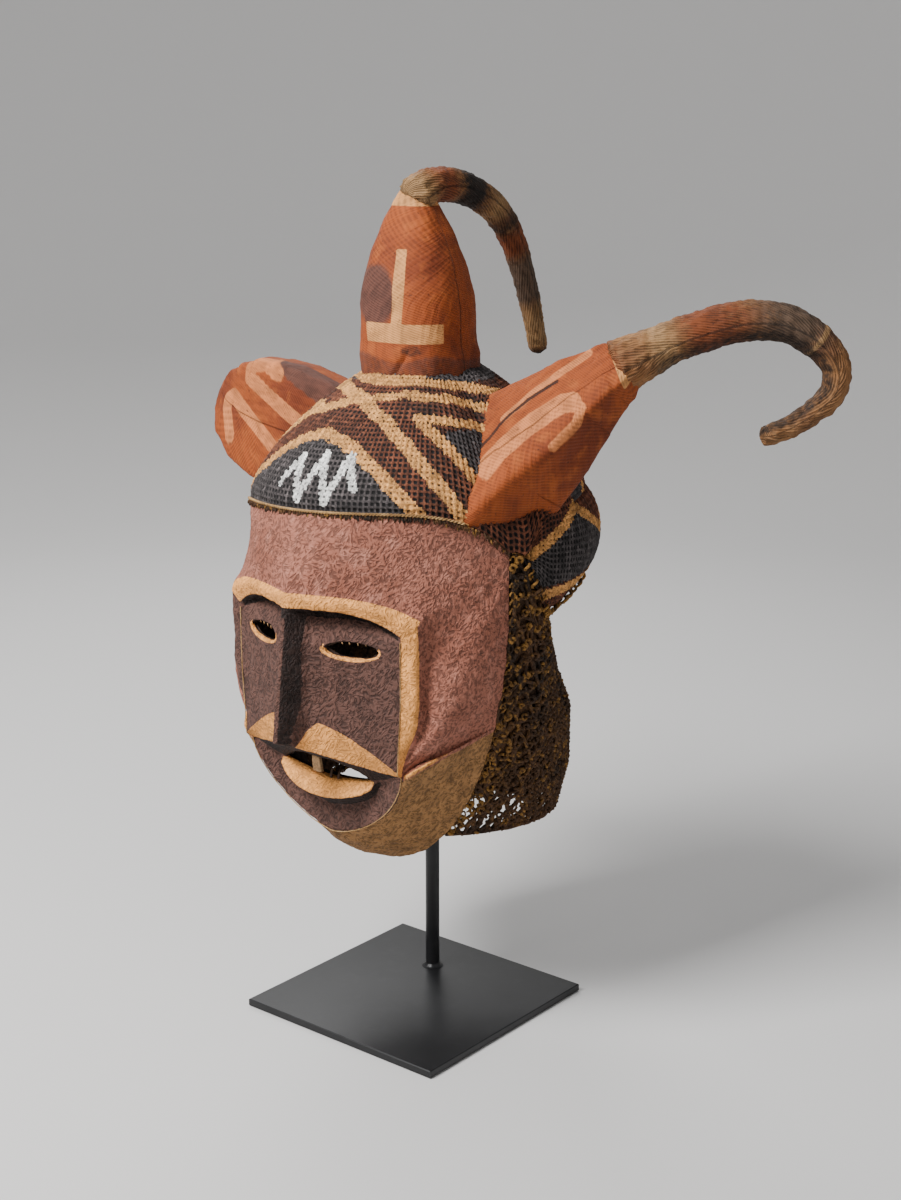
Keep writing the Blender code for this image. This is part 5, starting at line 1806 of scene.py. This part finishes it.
    def make(self) -> list[bpy.types.Object]:
        """Build lobe, horn and stitches."""
        lobe = self._lobe().build("lobe_top_cloth", self.head, LOBE_FINISH.material(), self._relief)
        horn = self._horn().build("horn_top_wrapped", self.head, HORN_FINISH.material(),
                                  lambda points, marks: 0.8 * SideHorn.relief(points, marks)
                                  + 0.25 * ripple(points, 3.0, 84))
        stitch = self._stitches().build("lobe_top_stitches", self.head, CORD_FINISH.material())
        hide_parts("lobe_top")
        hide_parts("horn_top")
        return [lobe, horn, stitch]


@dataclass
class SideLobe:
    """A lobe over an ear: sections along a path, and strokes painted on its front.

    Each row of the path is a middle point and two half widths in girths.  The
    last ninth narrows towards its end by the share drawn_in.
    """

    name: str
    cap: CapForm
    head: Head
    path: tuple[tuple[float, float, float, float, float], ...]
    faces: tuple[tuple[float, float], ...]
    panel: Panel
    strokes: tuple[tuple[str, float, tuple[tuple[float, float], ...]], ...]
    drawn_in: float = 0.0
    girth: float = 52.0
    around: int = 132
    along: int = 150

    def rings(self) -> np.ndarray:
        """Fine rings of the lobe."""
        table = np.array(self.path)
        fine = np.concatenate([np.linspace(a, b, self.along // (len(table) - 1) + 1)[:-1]
                               for a, b in zip(table[:-1], table[1:])] + [table[-1:]])
        near_end = np.clip(np.linspace(-8.0, 1.0, len(fine)), 0.0, 1.0)[:, None]
        fine[:, 3:] *= 1.0 - self.drawn_in * near_end ** 1.5
        return tube(fine[:, :3], fine[:, 3:] * self.girth, self.around, level=(0.0, 1.0, 0.0),
                    section=lambda angle: soft_polygon(self.faces, angle))

    def skin(self) -> Skin:
        """The lobe's cloth with its paint."""
        rings = self.rings()
        points = rings.reshape(-1, 3)
        marks = lay_marks(rings)
        angles = np.arange(self.around) * TAU / self.around - math.radians(self.faces[0][0])
        in_front = np.broadcast_to(np.cos(angles) > 0.15, rings.shape[:2])
        for name, width, places in self.strokes:
            value = self.panel.stroke(points, places, width).reshape(rings.shape[:2]) * in_front
            marks[name] = np.maximum(marks.get(name, 0.0), value)
        skin = Skin.grid(rings, marks, closed=True)
        last = len(skin.points) - self.around
        skin.faces.append(tuple(range(last, last + self.around)))
        return outside_cap(skin.relaxed(2), self.cap)

    def relief(self, points: np.ndarray, _: Marks) -> np.ndarray:
        """The cloth's unevenness."""
        return 0.5 * ripple(points, 26.0, 91) + 0.12 * ripple(points, 5.0, 92)

    def make(self) -> list[bpy.types.Object]:
        """Build the lobe."""
        made = self.skin().build(f"{self.name}_cloth", self.head, LOBE_FINISH.material(), self.relief)
        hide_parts(self.name)
        return [made]


@dataclass
class SideHorn:
    """The long horn that runs out from the right lobe and curls down."""

    head: Head
    neck: tuple[float, float] = (177.0, -31.0)
    facing: float = 42.0
    radius: float = 16.0
    tie: float = 0.535
    around: int = 56
    path: tuple[tuple[float, float], ...] = (
        (-14, 412), (1, 419.5), (16, 426.5), (31, 433.5), (50, 440), (82, 448), (111, 447), (131, 439),
        (147.5, 426), (156.5, 411), (155, 393.5), (143.5, 380.5), (127, 369), (111, 361.5), (99.5, 359))

    def line(self, count: int) -> np.ndarray:
        """The horn's middle line."""
        turn = math.radians(self.facing)
        flat = spline(self.path, count)
        return np.stack([self.neck[0] + flat[:, 0] * math.cos(turn),
                         self.neck[1] - flat[:, 0] * math.sin(turn), flat[:, 1]], axis=1)

    def skin(self) -> Skin:
        """The wrapped cloth and its colours."""
        path = self.line(320)
        share = np.linspace(0.0, 1.0, len(path))
        swell = 1.0 + 0.28 * (1.0 - np.array([ease(s / 0.22) for s in share]))
        taper = mix(1.0, 0.52, np.array([ease((s - 0.25) / 0.70) for s in share]))
        end = np.sqrt(np.clip(np.minimum((1.0 - share) / 0.022, (share + 0.001) / 0.022), 0.0, 1.0))
        ring = 1.0 + 0.05 * np.exp(-((share - self.tie) / 0.010) ** 2)
        tip = 1.0 - 0.3 * np.clip((share - 0.95) / 0.05, 0, 1)
        radius = self.radius * swell * taper * end * ring * tip
        turn = math.radians(self.facing)
        rings = tube(path, radius, self.around, level=(math.sin(turn), math.cos(turn), 0.0))

        between = partial(band, share, soft=0.10)
        tie = step_down(np.abs(share - self.tie), 0.007, 0.006)
        under = np.clip(share - 0.5, 0.0, 0.2) * 2.0
        bands = {"tan": 0.9 * between(0.12, 0.21) + tie + 0.3 * between(0.9, 1.1),
                 "red": between(0.24, 0.36) + 0.45 * between(-0.1, 0.06),
                 "grey": between(0.39, 0.53) + 0.6 * under}
        skin = banded(rings, bands)
        # Painted shade: umber grading onto the inside of the horn's curl, from a little way past its foot.
        inner = np.clip(-1.3 * np.sin(np.arange(self.around) * TAU / self.around) - 0.1, 0.0, 0.62)
        skin.marks["umber"] = (np.clip((share - 0.04) / 0.12, 0.0, 1.0)[:, None] * inner).reshape(-1)
        return skin

    @staticmethod
    def relief(points: np.ndarray, marks: Marks) -> np.ndarray:
        """Ridges of the wrapping that run slantwise round, and lumps."""
        wrap = np.sin((marks["along"] * 0.42 + marks["round"]) * TAU / 0.0036)
        gather = np.exp(-(marks["along"] / 0.028) ** 2)
        folds = gather * 0.9 * np.sin(marks["round"] * TAU / 0.009)
        return 0.30 * wrap + 0.5 * ripple(points, 9.0, 95) + folds

    def make(self) -> list[bpy.types.Object]:
        """Build the horn."""
        made = self.skin().build("horn_right_wrapped", self.head, HORN_FINISH.material(), self.relief)
        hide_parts("horn_right")
        return [made]


RIGHT_LOBE_PATH = ((62.0, 36.0, 296.0, 1.40, 1.16), (80.0, 26.0, 318.0, 1.40, 1.20),
                   (100.0, 14.0, 343.0, 1.22, 1.10), (122.0, 1.0, 366.0, 0.92, 0.94),
                   (143.0, -11.5, 389.0, 0.68, 0.72), (161.0, -22.0, 406.0, 0.50, 0.54),
                   (177.0, -31.0, 418.5, 0.40, 0.43))
LEFT_LOBE_PATH = ((-62.0, 0.0, 322.0, 0.66, 0.80), (-104.0, 0.0, 330.0, 0.78, 0.95),
                  (-146.0, 0.0, 338.0, 0.80, 1.02), (-176.0, 0.0, 342.0, 0.74, 1.00),
                  (-202.0, 0.0, 348.0, 0.64, 0.90), (-222.0, 0.0, 355.0, 0.48, 0.68),
                  (-235.0, 0.0, 361.0, 0.28, 0.40), (-241.0, 0.0, 364.0, 0.09, 0.12))
RIGHT_LOBE_FACES = ((32.8, 0.57), (-67.7, 0.92), (210.6, 0.62), (140.2, 0.67))
LEFT_LOBE_FACES = ((8.0, 0.55), (90.0, 1.0), (180.0, 0.55), (270.0, 1.0))
HAIRPIN = ((55.5, 341.0), (69.5, 356.5), (91.5, 374.5), (112.0, 388.0), (121.0, 390.5))
HAIRPIN_END = ((119.5, 392.0), (127.5, 387.0), (124.5, 376.0), (107.5, 359.0))
NECK_END = ((172.0, 396.0), (155.0, 431.0))
# Painted shade: a thin umber line along the crease of the right lobe's front.
CREASE_SHADE = ((50.5, 353.0), (64.0, 369.5), (85.5, 388.0), (107.5, 402.0))
UPPER_STRIPE = ((66.3, 372.8), (87.9, 391.3), (110.4, 408.7), (131.4, 423.6))
HOOKS = (((-155.0, 320.0), (-212.0, 360.0), (-219.0, 356.0), (-220.5, 348.0), (-214.0, 325.0)),
         ((-129.0, 345.6), (-191.0, 377.4), (-192.0, 385.0), (-184.0, 390.5), (-171.4, 391.0),
          (-156.0, 383.5)))
# Painted shade: a dark plum patch on the left lobe's upper right, where its hairy side turns away into shade.
HAIRY_SHADE_PATCH = ((-152.0, 398.0), (-104.0, 374.0))


@dataclass
class Stand:
    """Plate and rod keep their solids and get satin paint."""

    def make(self) -> list[bpy.types.Object]:
        """Dress both."""
        material = STEEL_FINISH.material()
        dressed = [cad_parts[name] for name in ("base_plate", "stand_rod")]
        for solid in dressed:
            for slot in solid.material_slots:
                slot.material = material
        return dressed


@dataclass
class Studio:
    """A pale round floor that rises into its backdrop, soft lights and the camera."""

    radius: float = 3.4
    rise: float = 2.6
    bend: float = 1.6
    floor_colour: Colour = (0.62, 0.61, 0.60)
    lights: tuple[tuple[str, float, float, float, float, float], ...] = (
        ("key", -16.0, 46.0, 2.1, 0.8, 92.0), ("fill", 92.0, 24.0, 2.4, 1.4, 5.0),
        ("rim", -128.0, 38.0, 2.0, 0.8, 20.0))
    target: Point = (-0.01, 0.03, 0.36)

    def _floor(self) -> bpy.types.Object:
        """One turned sheet: flat, then curving up all round."""
        profile = [(radius, 0.0) for radius in np.linspace(0.0, self.radius - self.bend, 8)]
        for k in range(1, 17):
            turn = math.pi / 2 * k / 16
            profile.append((self.radius - self.bend + self.bend * math.sin(turn),
                            self.bend * (1.0 - math.cos(turn))))
        profile.append((self.radius, self.rise))
        angles = np.linspace(0.0, TAU, 97)[:-1]
        rows = np.array([[(r * math.cos(a), r * math.sin(a), z - 0.0002) for a in angles]
                         for r, z in profile])
        sheet = Skin.grid(rows, closed=True)
        mesh = bpy.data.meshes.new("studio_floor")
        mesh.from_pydata(sheet.points.tolist(), [], sheet.faces)
        mesh.shade_smooth()
        material = bpy.data.materials.new("studio_paper")
        material.use_nodes = True
        shader = material.node_tree.nodes["Principled BSDF"]
        shader.inputs["Base Color"].default_value = (*self.floor_colour, 1.0)
        shader.inputs["Roughness"].default_value = 0.9
        mesh.materials.append(material)
        floor = bpy.data.objects.new("studio_floor", mesh)
        bpy.context.scene.collection.objects.link(floor)
        return floor

    def _light(self, name: str, azimuth: float, lift: float, away: float, size: float,
               power: float) -> None:
        """A square soft light that looks at the mask."""
        lamp = bpy.data.lights.new(name, "AREA")
        lamp.size = size
        lamp.energy = power
        made = bpy.data.objects.new(name, lamp)
        turn, up = math.radians(azimuth), math.radians(lift)
        x, y, z = self.target
        made.location = (x + away * math.cos(up) * math.sin(turn), y - away * math.cos(up) * math.cos(turn),
                         z + away * math.sin(up))
        made.rotation_euler = (math.pi / 2 - up, 0.0, turn)
        bpy.context.scene.collection.objects.link(made)

    def _camera(self) -> None:
        """The camera at the photograph's angle: azimuth 39.3, 14.6 degrees down."""
        lens = bpy.data.cameras.new("camera")
        lens.lens = 57.74
        lens.sensor_width = 36.0
        lens.clip_end = 30.0
        camera = bpy.data.objects.new("camera", lens)
        camera.location = (0.977, -1.147, 0.744)
        camera.rotation_euler = (math.radians(75.4), 0.0, math.radians(39.28))
        bpy.context.scene.collection.objects.link(camera)
        bpy.context.scene.camera = camera

    def make(self) -> None:
        """Set up floor, lights, sky and camera."""
        self._floor()
        for light in self.lights:
            self._light(*light)
        world = bpy.data.worlds.new("studio_air")
        world.use_nodes = True
        background = world.node_tree.nodes["Background"]
        background.inputs["Color"].default_value = (0.92, 0.95, 1.0, 1.0)
        background.inputs["Strength"].default_value = 0.22
        bpy.context.scene.world = world
        self._camera()


def main() -> None:
    """Build every piece in order and report it."""
    logging.basicConfig(level=logging.INFO, format="%(name)s: %(message)s")
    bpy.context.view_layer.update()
    form = FaceForm()
    head = Head.from_frame(form)
    cap = CapForm(form)
    right = SideLobe("lobe_right", cap, head, RIGHT_LOBE_PATH, RIGHT_LOBE_FACES, Panel(0.0, 0.0, 32.8),
                     (("pink", 12.5, HAIRPIN), ("pink", 7.5, HAIRPIN_END), ("pink", 4.5, UPPER_STRIPE),
                      ("umber", 2.0, CREASE_SHADE), ("tan", 20.0, NECK_END)), drawn_in=0.42)
    left = SideLobe("lobe_left", cap, head, LEFT_LOBE_PATH, LEFT_LOBE_FACES, Panel(0.0, 0.0, 8.0),
                    (("plum", 24.0, HAIRY_SHADE_PATCH), *(("pink", 13.0, hook) for hook in HOOKS)))
    for part in (Stand(), Face(form, head), Tooth(head), Cap(cap, head), Hem(form, head), Net(cap, head),
                 TopLobe(cap, head), right, left, SideHorn(head)):
        for piece in part.make():
            LOG.info("%s: %d faces", piece.name, len(piece.data.polygons))
    Studio().make()


if __name__ == "__main__":
    main()
